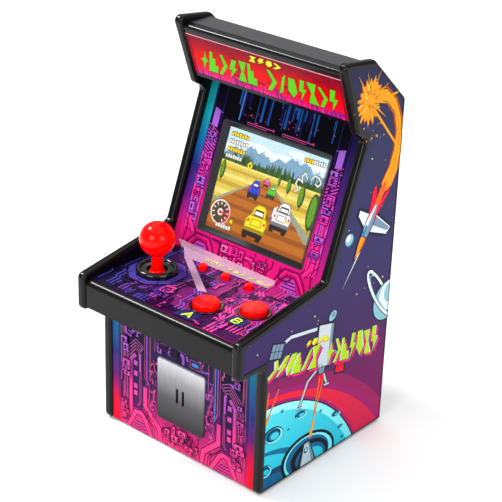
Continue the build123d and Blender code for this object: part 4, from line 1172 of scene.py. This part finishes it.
def side_artwork(side):
    """The space scene on a side panel; side is +1 on the right and -1 on the left."""
    low, high = extent("side_art_right" if side > 0 else "side_art_left")
    face = high.x if side > 0 else low.x
    right = Y if side > 0 else -Y
    back, top = extent("side_panel_right")[1].y, 149.6
    # the upper end of the lower rail, the notch under the marquee and the marquee's lower corner
    rail, notch, brow = (3.0, 72.4), (18.9, 120.2), (14.5, 123.2)
    regions = [
        box(-28.4, 1.0, back - 0.5, 51.6),
        [(-41.2, 51.6), (back - 0.5, 51.6), (back - 0.5, 70.8), (rail[0] + 0.2, 70.8), (-41.2, 64.2)],
        [(rail[0] + 0.2, 70.8), (back - 0.5, 70.8), (back - 0.5, notch[1]), (notch[0] + 1.0, notch[1])],
        [
            (notch[0] + 1.0, notch[1]),
            (back - 0.5, notch[1]),
            (back - 0.5, 129.6),
            (23.4, 147.0),
            (6.0, top - 0.6),
            (brow[0] + 0.6, brow[1]),
        ],
    ]
    name = "side_print_right" if side > 0 else "side_print_left"
    art = Artwork(name, (face, 0, 0), right, Z, regions)
    art.line = "metal_line"
    art.hand = side
    art.step = 0.0005
    ring_centre, ring_radius = through((-29.4, 38.4), (1.7, 31.0), (40.1, 0.6))
    planet_centre, planet_radius = through((-29.4, 34.4), (-4.0, 28.4), (24.4, 0.6))
    art.disc("side_glow", ring_centre, ring_radius + 6.5, steps=90)
    art.disc("ink_magenta", ring_centre, ring_radius + 2.2, steps=90)
    art.disc("side_ring", ring_centre, ring_radius, steps=90)
    art.disc("ink_magenta", planet_centre, planet_radius + 1.6, steps=90)
    art.disc("planet_line", planet_centre, planet_radius + 0.5, steps=90)
    art.disc("planet_light", planet_centre, planet_radius, steps=90)
    art.disc(
        "planet_body", (planet_centre[0] - 1.5, planet_centre[1] - 1.8), planet_radius - 0.8, steps=90
    )
    art.disc(
        "planet_deep", (planet_centre[0] - 3.0, planet_centre[1] - 9.0), planet_radius - 8.0, steps=90
    )
    art.disc(
        "planet_body", (planet_centre[0] - 8.0, planet_centre[1] - 10.0), planet_radius - 7.5, steps=90
    )
    art.disc("ink_sea", (planet_centre[0] + 6.0, planet_centre[1] - 15.0), planet_radius - 11.0, steps=90)
    art.disc(
        "planet_deep", (planet_centre[0] + 2.0, planet_centre[1] - 17.0), planet_radius - 11.0, steps=90
    )
    # craters
    for x, y, radius, squash in (
        (-2.0, 4.6, 15.6, 0.62), (-22.3, 22.4, 5.4, 0.6), (-7.4, 24.2, 3.4, 0.45),
        (13.4, 15.2, 2.6, 0.5), (-26.0, 9.0, 3.6, 0.7), (16.5, 8.4, 1.6, 0.6),
    ):
        art.disc("planet_line", (x, y), radius, squash=squash, tilt=-12)
        art.disc("planet_light", (x + 0.3, y - 0.3), radius * 0.9, squash=squash, tilt=-12)
        art.disc("planet_deep", (x - 0.2, y + 0.1), radius * 0.8, squash=squash, tilt=-12)
        art.disc(
            "planet_line", (x + radius * 0.06, y - radius * 0.04), radius * 0.7, squash=squash, tilt=-12
        )
        art.disc(
            "planet_deep", (x + radius * 0.1, y - radius * 0.08), radius * 0.56, squash=squash, tilt=-12
        )
        art.disc(
            "planet_body",
            (x + radius * 0.16, y - radius * 0.12),
            radius * 0.42,
            squash=squash,
            tilt=-12,
        )
    for x, y, radius in (
        (-18, 30.2, 0.9), (-14, 21, 0.7), (4, 20.5, 0.8), (9, 22, 0.5), (-27, 27.5, 0.6),
        (18, 3.4, 0.8),
    ):
        art.disc("planet_deep", (x, y), radius, steps=12, squash=0.7)
    # a little landing craft in the big crater
    art.shape("metal_line", [(-8.4, 1.0), (-5.0, 11.2), (-1.8, 11.4), (2.8, 1.0)])
    art.shape("metal_light", [(-6.2, 1.0), (-4.4, 10.2), (-2.4, 10.4), (0.4, 1.0)])
    art.shape("metal_mid", [(-2.4, 10.4), (-1.8, 10.6), (2.0, 1.0), (0.2, 1.0)])
    art.disc("metal_line", (-3.4, 7.4), 1.2, steps=20)
    art.disc("planet_light", (-3.3, 7.5), 0.7, steps=20)
    # stars
    rng = random.Random(51)
    for _ in range(60):
        art.disc(
            rng.choice(("ink_white", "ink_pale_yellow", "ink_orange")),
            (rng.uniform(-38, 40), rng.uniform(44, 146)),
            rng.choice((0.12, 0.16, 0.24)),
            steps=6,
        )
    for x, y in ((-32.5, 58.4), (21.1, 61.3), (36.3, 62.8), (-2.5, 61.4), (24.6, 112.0), (8.6, 88.0)):
        art.disc("ink_pale_yellow", (x, y), 0.34, steps=8)
    # a satellite: hull, dish, boom and two wings of cells
    art.track("metal_light", [(-21.4, 56.6), (-15.075, 58.2), (-0.7, 55.8)], 1.3, 0.35)
    art.shape("metal_line", [(-27.0, 53.4), (-19.8, 51.4), (-17.6, 57.6), (-24.8, 59.6)])
    art.shape("metal_mid", [(-26.2, 53.9), (-20.3, 52.2), (-18.5, 57.1), (-24.4, 58.9)])
    for step in (0.33, 0.66):
        a = (-26.2 + 5.9 * step, 53.9 - 1.7 * step)
        b = (-24.4 + 5.9 * step, 58.9 - 1.8 * step)
        art.stroke("metal_line", [a, b], 0.25)
    art.stroke("metal_line", [(-25.3, 56.4), (-19.4, 54.7)], 0.25)
    art.shape("metal_line", [(-1.4, 39.2), (8.2, 37.4), (9.6, 55.0), (-0.2, 57.4)])
    art.shape("metal_light", [(-0.6, 40.0), (6.2, 38.6), (7.4, 54.9), (0.6, 56.5)])
    art.shape("metal_mid", [(6.2, 38.6), (7.6, 38.3), (8.9, 54.5), (7.4, 54.9)])
    art.disc("metal_line", (7.6, 57.6), 2.8, squash=0.75, tilt=35)
    art.disc("ink_pale_blue", (7.8, 57.8), 2.2, squash=0.75, tilt=35)
    art.disc("metal_mid", (8.2, 58.1), 1.1, squash=0.75, tilt=35)
    art.track("metal_mid", [(8.6, 44), (13.4, 40.0)], 1.0)
    art.shape("metal_line", [(11.4, 41.6), (17.4, 40.2), (16.6, 31.4), (10.6, 32.8)])
    art.shape("ink_red", [(12.2, 40.8), (16.6, 39.8), (15.9, 32.3), (11.4, 33.4)])
    for step in (0.33, 0.66):
        art.stroke(
            "metal_line",
            [(11.4 + 0.8 * step, 33.4 + 7.4 * step), (15.9 + 0.7 * step, 32.3 + 7.5 * step)],
            0.3,
        )
    # its landing struts, with a red flame from the nozzle between them
    for foot_x, foot_y, knee_x in ((-8.6, 27.6, -4.6), (6.4, 31.2, 4.2)):
        art.track("metal_light", [(2.2, 40), (knee_x, 36.2), (foot_x, foot_y)], 0.9)
        art.track("metal_light", [(foot_x - 1.4, foot_y - 0.3), (foot_x + 1.4, foot_y - 0.6)], 0.7)
    art.shape("metal_line", [(0.6, 39.6), (5.6, 38.8), (4.6, 35.8), (1.2, 36.4)])
    art.shape("metal_mid", [(1.2, 39.2), (5.0, 38.6), (4.1, 36.3), (1.7, 36.8)])
    art.shape("ink_red", [(1.4, 36.4), (4.4, 35.9), (3.4, 32.4), (2.2, 30.2), (1.6, 33.0)])
    # sparks below it
    for a, b in (
        ((-25.8, 41.0), (-27.2, 29.6)), ((-20.5, 40.0), (-27.4, 26.6)), ((2.0, 35.0), (-1.2, 12.4)),
        ((4.4, 34.0), (0.2, 20.0)),
    ):
        art.stroke("ink_deep_orange", [a, b], 0.5)
        art.stroke("ink_orange", [(a[0] + 0.2, a[1]), (b[0] + 0.3, b[1] + 2)], 0.22)
    for x, y in ((-27.0, 29.0), (-1.2, 13.4), (-0.4, 16.6)):
        art.shape(
            "ink_orange",
            [
                (x - 1.0, y - 1.6), (x + 0.8, y - 1.2), (x + 1.0, y + 1.4), (x + 0.1, y + 2.8),
                (x - 0.6, y + 0.6),
            ],
        )
    # the title row of made-up signs
    corners = ((-28.0, 46.2), (37.6, 32.2), (35.0, 43.6), (-23.6, 52.6))
    order = "dart bolt gem stairs blade hourglass gap spark dart stairs bolt gem hourglass bolt"
    dropped = tuple((x + 0.9, y - 1.1) for x, y in corners)
    glyph_row(art, order, "ink_pink", "ink_magenta", dropped, shift=(0.5, -0.6), fill=0.98)
    glyph_row(art, order, "ink_white", "ink_dark", corners, shift=(0.3, -0.34), fill=0.94, grow=0.2)
    inner = tuple((x * 0.985 + 0.1, y + 0.15) for x, y in corners)
    glyph_row(art, order, "ink_lime", "ink_green", inner, shift=(0.2, -0.25), fill=0.8, grow=0.2)
    glyph_row(
        art,
        "bolt gem dart stairs",
        "ink_yellow",
        "ink_red",
        ((-7.2, 50.8), (6.4, 48.9), (6.8, 51.4), (-6.6, 53.2)),
        shift=(0.3, -0.4),
    )
    # ringed planet and small moon
    body_spot = (39.6, 52.2)
    art.hoop("metal_line", (35.2, 56.6), 13.4, 1.7, squash=0.2, tilt=-55, start=10, end=170)
    art.hoop("ink_white", (35.2, 56.6), 13.4, 1.0, squash=0.2, tilt=-55, start=10, end=170)
    art.disc("metal_line", body_spot, 8.2, steps=48)
    art.disc("ink_pale_blue", body_spot, 7.7, steps=48)
    art.disc("ink_white", (41.0, 54.0), 6.1, steps=48)
    art.disc("ink_pale_blue", (42.2, 55.0), 4.2, steps=40)
    for radius, width, ink in (
        (13.4, 1.9, "metal_line"),
        (13.4, 1.2, "ink_white"),
        (11.0, 0.4, "ink_pale_blue"),
    ):
        art.hoop(ink, (35.2, 56.6), radius, width, squash=0.22, tilt=-55, start=150, end=395, steps=60)
    art.disc("ink_teal", (14.7, 84.5), 2.5, steps=30)
    art.disc("ink_pale_blue", (14.4, 84.8), 2.2, steps=30)
    art.disc("ink_white", (13.9, 85.4), 1.3, steps=24)
    # comet: a broad tail that bends round from the burst
    tail = [
        (24, 137.0), (30.4, 136.2), (36.4, 131.0), (40.4, 123.0), (41.6, 112.0), (40.2, 104.4),
        (37.0, 98.6), (32.4, 97.0), (31.4, 101.0),
    ]
    tail += [(34.6, 105.6), (36.8, 112.0), (37.4, 119.0), (35.4, 125.8), (31.0, 130.8), (25.4, 132.6)]
    art.stroke("ink_deep_orange", tail, 0.7, closed=True)
    halves = len(tail) // 2
    for index in range(halves):
        art.shape(
            "ink_orange", [tail[index], tail[index + 1], tail[-2 - index], tail[-1 - index]], lift=False
        )
    art.shape("ink_orange", tail[5:10])
    for a, b in (
        ((38.8, 122), (39.4, 112)), ((35.0, 129), (37.6, 122.5)), ((38.4, 109), (37.0, 102.4)),
        ((35.4, 100.6), (33.6, 99)),
    ):
        art.stroke("ink_deep_orange", [a, b], 0.3)
    art.stroke("ink_orange", [(23.0, 131.0), (41.0, 110.4)], 0.9)
    art.stroke("ink_orange", [(22.0, 132.0), (37.4, 133.2)], 0.8)
    burst = []
    for step in range(36):
        reach = (8.6 if step % 2 else 6.2) * rng.uniform(0.84, 1.12)
        angle = math.radians(step * 10)
        burst.append((20.8 + reach * 0.86 * math.cos(angle), 134.0 + reach * math.sin(angle)))
    art.shape("ink_deep_orange", [(x - 0.2, y - 0.5) for x, y in burst])
    art.shape("ink_orange", burst)
    for _ in range(46):
        angle, start = rng.uniform(0, 360), rng.uniform(0.5, 4.5)
        way = (math.cos(math.radians(angle)), math.sin(math.radians(angle)))
        reach = start + rng.uniform(0.8, 2.6)
        art.stroke(
            rng.choice(("ink_deep_orange", "ink_dark", "ink_pale_yellow", "ink_dark")),
            [
                (20.8 + start * way[0], 134.0 + start * way[1]),
                (20.8 + reach * way[0], 134.0 + reach * way[1]),
            ],
            rng.uniform(0.15, 0.4),
        )
    for angle, reach in (
        (125, 12.5), (100, 10.8), (60, 11.5), (200, 9.5), (238, 10.5), (-18, 15.0), (-40, 13.5),
        (20, 12.0),
    ):
        way = (math.cos(math.radians(angle)), math.sin(math.radians(angle)))
        tip = (20.8 + reach * way[0], 134.0 + reach * way[1])
        side_way = (-way[1] * 0.6, way[0] * 0.6)
        art.shape(
            "ink_orange",
            [(20.8 + side_way[0], 134 + side_way[1]), (20.8 - side_way[0], 134 - side_way[1]), tip],
        )
    for _ in range(14):
        art.disc(
            "ink_orange",
            (rng.uniform(16, 28), rng.uniform(117.5, 125.5)),
            rng.uniform(0.12, 0.45),
            steps=5,
        )
    # rocket, drawn from its nose backwards
    nose, aim = (17.9, 75.4), math.atan2(24.5, 15.5)

    def craft(ink, *points):
        art.shape(
            ink,
            [
                (
                    nose[0] + a * math.cos(aim) - c * math.sin(aim),
                    nose[1] + a * math.sin(aim) + c * math.cos(aim),
                )
                for a, c in points
            ],
        )

    craft("ink_white", (-11.0, 0.1), (4.0, -0.9), (4.0, -1.6))
    craft("metal_line", (11.0, 1.5), (14.2, 8.8), (17.6, 9.4), (18.2, 1.5))
    craft("ink_white", (12.0, 1.6), (14.8, 8.1), (16.8, 8.6), (17.2, 1.6))
    craft("metal_line", (10.6, -1.5), (12.8, -13.6), (17.4, -14.6), (19.2, -1.5))
    craft("ink_white", (11.6, -1.6), (13.6, -12.8), (16.6, -13.6), (18.2, -1.6))
    craft("metal_mid", (14.2, -2.2), (14.9, -12.6), (16.4, -13.2), (17.6, -2.2))
    craft(
        "metal_line",
        (-0.4, 0.2),
        (6.0, 2.2),
        (15, 2.7),
        (22.0, 2.2),
        (24.4, 0),
        (22.0, -2.2),
        (15, -2.7),
        (6.0, -2.2),
    )
    craft("ink_orange", (0.3, 0), (6.2, 1.6), (9.0, 1.8), (9.0, -1.8), (6.2, -1.6))
    craft("ink_deep_orange", (1.6, -0.6), (9.0, -0.5), (9.0, -1.8), (6.2, -1.6))
    craft("ink_white", (9.4, 1.8), (15, 2.2), (21.4, 1.8), (21.4, 0.2), (9.4, 0.2))
    craft("metal_mid", (9.4, 0.2), (21.4, 0.2), (21.4, -1.8), (15, -2.2), (9.4, -1.8))
    craft("planet_deep", (8.4, 1.3), (10.4, 1.9), (13.4, 1.5), (13.2, 0.3), (9.4, 0.2))
    craft("ink_red", (15.4, 2.0), (24.8, 5.6), (27.4, 5.2), (22.0, 0.8))
    craft("ink_red", (15.6, -1.8), (27.4, -4.0), (29.4, -3.2), (21.0, -0.6))
    craft("ink_deep_orange", (21.0, 1.4), (26.8, 2.2), (30.6, 0.4), (27.4, -1.4), (21.4, -1.2))
    return art.finish("cabinet", "printed_film")


def screen_picture():
    """The lit racing scene, on the display behind the window."""
    depth = 2.45
    out = X.cross(slope_up)
    origin = Vector(SLOPE_FOOT) - out * depth
    # the window's middle up the slope, and half the picture's width and height
    middle = 29.5
    half_u, half_v = 22.85, 18.85
    low, high = middle - half_v, middle + half_v
    art = Artwork("screen_picture", origin, X, slope_up, [box(-25.7, middle - 21.4, 25.7, middle + 21.4)])
    art.rise = 0.0
    art.depth = 1.1
    art.bar("screen_black", -25.7, middle - 21.4, 51.4, 42.8)
    art.depth = 0.01
    art.regions = [box(-half_u - 0.4, low - 0.4, half_u + 0.4, high + 0.4)]
    rng = random.Random(61)
    art.bar("sky", -24, 34, 48, 16)
    # clouds, far peaks and snow
    for x, y, wide in (
        (-9, 43.6, 7.0), (4, 42.6, 8.0), (17, 44.2, 6.0), (-18, 41.6, 6.0), (10, 46.2, 5.0),
    ):
        art.disc("cloud", (x, y), wide, squash=0.24)
    peaks = [(-24, 38)]
    x = -24.0
    for height in (3.4, 6.4, 4.2, 8.2, 5.0, 7.0, 3.6, 6.0, 5.2, 9.0, 6.2, 8.8, 4.6, 6.6, 3.4):
        x += 3.2
        peaks.append((x, 36.8 + height))
    for a, b in zip(peaks, peaks[1:]):
        art.shape("far_hill", [(a[0], 35), (b[0], 35), b, a], lift=False)
    for x, y in peaks:
        if y > 43:
            art.shape(
                "cloud",
                [
                    (x - 1.3, y - 1.7), (x - 0.3, y - 1.2), (x + 0.4, y - 2.0), (x + 1.4, y - 1.6),
                    (x, y),
                ],
            )
    # forest
    art.bar("forest", -24, 34.2, 48, 3.6)
    for _ in range(150):
        x = rng.uniform(-24, 24)
        top = 38.0 + rng.uniform(0, 3.0) + 1.2 * math.sin(x * 0.35)
        wide = rng.uniform(0.35, 0.8)
        art.shape(
            rng.choice(("forest", "forest_dark", "forest_light")),
            [(x - wide, 36.0), (x + wide, 36.0), (x, top)],
        )
    # fields
    art.bar("field", -24, 9, 48, 27.0)
    for v, tall, ink in (
        (35.2, 0.8, "field_light"), (33.0, 1.0, "field_dark"), (30.4, 1.4, "field_light"),
        (27.4, 1.6, "field_dark"), (23.8, 1.8, "field_light"), (20.0, 2.2, "field_dark"),
        (15.6, 2.4, "field_light"),
    ):
        art.bar(ink, -24, v, 48, tall)
    # verge and road, wider as it comes nearer
    apex = (-1.2, 34.6)
    art.shape(
        "verge", [apex, (-27.5, 18.6), (-27.5, 9), (29.0, 9), (29.0, 16.0), (apex[0] + 0.6, apex[1])]
    )
    art.shape(
        "road", [apex, (-24.5, 18.8), (-24.5, 9), (24.8, 9), (24.8, 14.4), (apex[0] + 0.6, apex[1])]
    )
    for v, tall in ((31.2, 0.7), (28.6, 0.9), (25.6, 1.2), (21.8, 1.5), (17.2, 1.9), (12.2, 2.2)):
        spread = (apex[1] - v) / (apex[1] - 17.0)
        art.shape(
            "road_dark",
            [
                (apex[0] - 25.4 * spread, v), (apex[0] + 23.6 * spread, v),
                (apex[0] + 23.6 * spread + tall, v - tall), (apex[0] - 25.4 * spread - tall, v - tall),
            ],
        )
    # roadside trees
    for x, y, tall in (
        (15.2, 28.6, 8.2), (8.9, 32.0, 5.6), (4.3, 33.4, 3.6), (21.4, 22.0, 13.5), (-21.8, 29.0, 7.0),
    ):
        art.bar("trunk", x - 0.12, y - 1.2, 0.24, 1.6)
        art.disc("forest_dark", (x, y + tall / 2), tall / 2, squash=0.34, tilt=90)
        art.disc("leaf", (x - 0.25, y + tall / 2 + 0.2), tall / 2.4, squash=0.26, tilt=90)
    # the sign at the bend
    art.bar("verge", -10.2, 31.6, 0.16, 4.8)
    art.shape("sign", [(-10.1, 35.2), (-8.8, 36.9), (-10.1, 38.6), (-11.4, 36.9)])
    art.shape("screen_black", [(-10.1, 36.2), (-9.6, 36.9), (-10.1, 37.6), (-10.6, 36.9)])

    def car(paint, deep, x, y, size, lean=0.12):
        """A small rounded car from behind: wheels, body, cabin, window and bumper."""

        def part(ink, *points):
            art.shape(ink, [(x + size * (a + lean * b), y + size * b) for a, b in points])

        part("tyre", (-0.98, -1.2), (0.98, -1.2), (0.98, -0.5), (-0.98, -0.5))
        part("tyre", (-0.9, -1.42), (-0.45, -1.42), (-0.45, -0.8), (-0.9, -0.8))
        part("tyre", (0.45, -1.42), (0.9, -1.42), (0.9, -0.8), (0.45, -0.8))
        part(deep, (-1.04, -0.8), (1.04, -0.8), (1.08, 0.1), (0.7, 0.62), (-0.7, 0.62), (-1.08, 0.1))
        part(paint, (-0.94, -0.55), (0.94, -0.55), (0.98, 0.1), (0.66, 0.56), (-0.66, 0.56), (-0.98, 0.1))
        part(deep, (-0.72, 0.4), (0.72, 0.4), (0.62, 1.1), (0.34, 1.42), (-0.34, 1.42), (-0.62, 1.1))
        part(paint, (-0.64, 0.5), (0.64, 0.5), (0.55, 1.06), (0.3, 1.32), (-0.3, 1.32), (-0.55, 1.06))
        part("tyre", (-0.5, 0.5), (0.5, 0.5), (0.42, 1.0), (-0.42, 1.0))
        part("cloud", (-0.42, 0.58), (0.42, 0.58), (0.36, 0.86), (-0.36, 0.86))
        part(deep, (-0.56, -0.34), (0.56, -0.34), (0.5, 0.24), (-0.5, 0.24))
        part(paint, (-0.48, -0.28), (0.48, -0.28), (0.42, 0.18), (-0.42, 0.18))
        part("lamp", (-0.9, -0.1), (-0.68, -0.1), (-0.7, 0.14), (-0.9, 0.1))
        part("lamp", (0.68, -0.1), (0.9, -0.1), (0.9, 0.1), (0.7, 0.14))
        part(deep, (-0.9, -0.62), (0.9, -0.62), (0.9, -0.5), (-0.9, -0.5))

    car("car_pink", "car_pink_deep", -0.9, 33.1, 1.15)
    car("car_green", "car_green_deep", 2.3, 30.6, 1.9)
    car("car_blue", "car_blue_deep", -5.4, 29.2, 2.5)
    car("car_white", "car_white_deep", 9.4, 23.0, 4.1)
    art.shape("car_white_deep", [(5.4, 21.4), (6.2, 26.0), (4.6, 25.0), (4.2, 21.8)])
    art.shape("car_white", [(5.6, 22.0), (6.6, 26.6), (5.2, 25.6), (4.8, 22.4)])
    car("car_yellow", "car_yellow_deep", -1.0, 18.2, 4.7)
    for x, y in ((2.2, 17.2), (11.6, 22.0)):
        art.shape("sign", [(x - 1.2, y - 0.7), (x + 0.4, y), (x + 1.2, y + 1.0), (x - 0.2, y + 0.4)])
    # the round gauge
    gauge = (-17.9, 17.2)
    art.disc("gauge_rim", gauge, 4.6, steps=36)
    art.disc("gauge_face", gauge, 4.1, steps=36)
    art.hoop("lamp", gauge, 3.9, 0.9, start=-60, end=25, steps=12)
    for angle in range(-60, 250, 31):
        way = (math.cos(math.radians(angle)), math.sin(math.radians(angle)))
        art.stroke(
            "gauge_rim",
            [
                (gauge[0] + 2.7 * way[0], gauge[1] + 2.7 * way[1]),
                (gauge[0] + 3.8 * way[0], gauge[1] + 3.8 * way[1]),
            ],
            0.4,
        )
    art.disc("gauge_rim", gauge, 1.3, steps=16)
    art.stroke("lamp", [gauge, (gauge[0] + 3.2, gauge[1] - 0.2)], 0.6)
    art.disc("lamp", gauge, 0.7, steps=12)
    # counters as rows of plain blocks
    for x, y, count, wide, ink in (
        (-21.6, 45.4, 7, 0.9, "sign"),
        (-21.8, 42.6, 8, 0.8, "gauge_rim"),
        (-21.8, 39.8, 7, 0.9, "sign"),
        (-21.9, 37.2, 7, 0.8, "gauge_rim"),
        (12.6, 45.0, 4, 0.8, "sign"),
        (16.8, 45.2, 5, 0.75, "gauge_rim"),
        (-18.6, 11.8, 6, 0.9, "gauge_rim"),
        (-12.6, 14.6, 1, 1.3, "sign"),
    ):
        for index in range(count):
            left = x + index * (wide + 0.3)
            tall = 1.5 if index % 2 else 1.25
            art.bar("screen_black", left - 0.15, y - 0.15, wide + 0.3, tall + 0.35)
            art.bar(ink, left, y, wide, tall)
    # the course map
    course = [
        (12.0, 33.6), (13.2, 34.8), (11.6, 36.6), (12.2, 38.6), (14.2, 37.8), (13.6, 39.8),
        (14.6, 41.2), (16.0, 39.4),
    ]
    course_right = [(17.6, 39.6), (18.8, 41.4), (20.8, 41.0), (22.0, 39.4), (21.0, 38.0), (19.6, 38.8)]
    for line in (course, course_right):
        art.stroke("screen_black", line, 0.95)
        art.stroke("gauge_rim", line, 0.55)
    return art.finish("cabinet", "lcd_glass", replaces="lcd_panel")


inks.update(
    {
        "screen_black": lit("screen_black", "0a0a0c"),
        "sky": lit("sky", "bfe4fb", "d4effd"),
        "cloud": lit("cloud", "f4fafc", "e6f0f6"),
        "far_hill": lit("far_hill", "6f9cba", "8ab4cc"),
        "forest": lit("forest", "234a14", "33601c"),
        "forest_dark": lit("forest_dark", "1c3414", "2a441c"),
        "forest_light": lit("forest_light", "4c6c2c", "3c5824"),
        "leaf": lit("leaf", "6aa514", "4a850c"),
        "field": lit("field", "ecd052", "dcc044"),
        "field_light": lit("field_light", "fbe884", "f0da6c"),
        "field_dark": lit("field_dark", "cfae34", "c0a02c"),
        "verge": lit("verge", "a4a890", "8f967f"),
        "road": lit("road", "c4700e", "b5640a"),
        "road_dark": lit("road_dark", "a2560a", "944c06"),
        "trunk": lit("trunk", "4a3418"),
        "tyre": lit("tyre", "1a1612"),
        "sign": lit("sign", "ffe000", "f0c800"),
        "lamp": lit("lamp", "e01818"),
        "gauge_rim": lit("gauge_rim", "f6f4ee"),
        "gauge_face": lit("gauge_face", "5a3c20", "4a3018"),
    }
)
for name, code, deep in (
    ("yellow", "ffe81a", "a88a00"),
    ("white", "f2f2ee", "77787c"),
    ("blue", "2346d8", "101c6c"),
    ("green", "58d42a", "1f6c10"),
    ("pink", "e85aa8", "8c1f5c"),
):
    inks[f"car_{name}"] = lit(f"car_{name}", code)
    inks[f"car_{name}_deep"] = lit(f"car_{name}_deep", deep)

front_artwork()
slope_artwork()
deck_artwork()
marquee_artwork()
side_artwork(1)
side_artwork(-1)
screen_picture()

# ------------------------------------------------------------------ camera, floor and light

VIEW_AZIMUTH = math.radians(40.186)
VIEW_ELEVATION = math.radians(25.673)
VIEW_DISTANCE = 0.540009
VIEW_TARGET = Vector((0.00156, 0.0058, 0.07101))
VIEW_ROLL = math.radians(2.015)
back_way = Vector(
    (
        math.sin(VIEW_AZIMUTH) * math.cos(VIEW_ELEVATION),
        -math.cos(VIEW_AZIMUTH) * math.cos(VIEW_ELEVATION),
        math.sin(VIEW_ELEVATION),
    )
)
lens = bpy.data.cameras.new("camera")
lens.lens = 108.02
lens.sensor_width = 36.0
camera = bpy.data.objects.new("camera", lens)
bpy.context.scene.collection.objects.link(camera)
camera.location = VIEW_TARGET + back_way * VIEW_DISTANCE
turn = back_way.to_track_quat("Z", "Y").to_matrix().to_4x4()
camera.matrix_world = Matrix.Translation(camera.location) @ turn @ Matrix.Rotation(VIEW_ROLL, 4, "Z")
bpy.context.scene.camera = camera

floor_mesh = bpy.data.meshes.new("floor")
SIDE = 4.0
floor_mesh.from_pydata(
    [(-SIDE, -SIDE, 0), (SIDE, -SIDE, 0), (SIDE, SIDE, 0), (-SIDE, SIDE, 0)], [], [(0, 1, 2, 3)]
)
floor = bpy.data.objects.new("floor", floor_mesh)
bpy.context.scene.collection.objects.link(floor)
floor_look = Finish("floor_white", Specular_IOR_Level=0.2)
floor_look.put(
    "Base Color", floor_look.mix(floor_look.noise(0.01, 2.0), (0.9, 0.9, 0.9), (0.93, 0.93, 0.93))
)
floor_look.put("Roughness", floor_look.span(floor_look.noise(0.02), 0.3, 0.7, 0.6, 0.75))
floor_mesh.materials.append(floor_look.material)

world = bpy.data.worlds.new("studio")
bpy.context.scene.world = world
world.use_nodes = True
world.node_tree.nodes["Background"].inputs[0].default_value = (1.0, 1.0, 1.0, 1.0)
world.node_tree.nodes["Background"].inputs[1].default_value = 0.42
bpy.context.scene.view_settings.view_transform = "Standard"


def soft_box(name, place, aim, wide, high, watts, colour=(1.0, 1.0, 1.0)):
    light = bpy.data.lights.new(name, "AREA")
    light.shape = "RECTANGLE"
    light.size = wide
    light.size_y = high
    light.energy = watts
    light.color = colour
    lamp = bpy.data.objects.new(name, light)
    bpy.context.scene.collection.objects.link(lamp)
    lamp.location = place
    lamp.rotation_euler = (Vector(place) - Vector(aim)).to_track_quat("Z", "Y").to_euler()


MIDDLE = (0.0, 0.0, 0.07)
soft_box("over_box", (0.0, 0.2, 1.5), MIDDLE, 2.6, 2.6, 21.0)
soft_box("key_box", (-0.6, -0.2, 0.8), MIDDLE, 0.22, 0.22, 8.5)
soft_box("front_box", (0.1, -1.0, 0.5), MIDDLE, 0.5, 0.5, 5.5)
soft_box("right_box", (1.0, -0.25, 0.5), MIDDLE, 0.5, 0.5, 4.5)
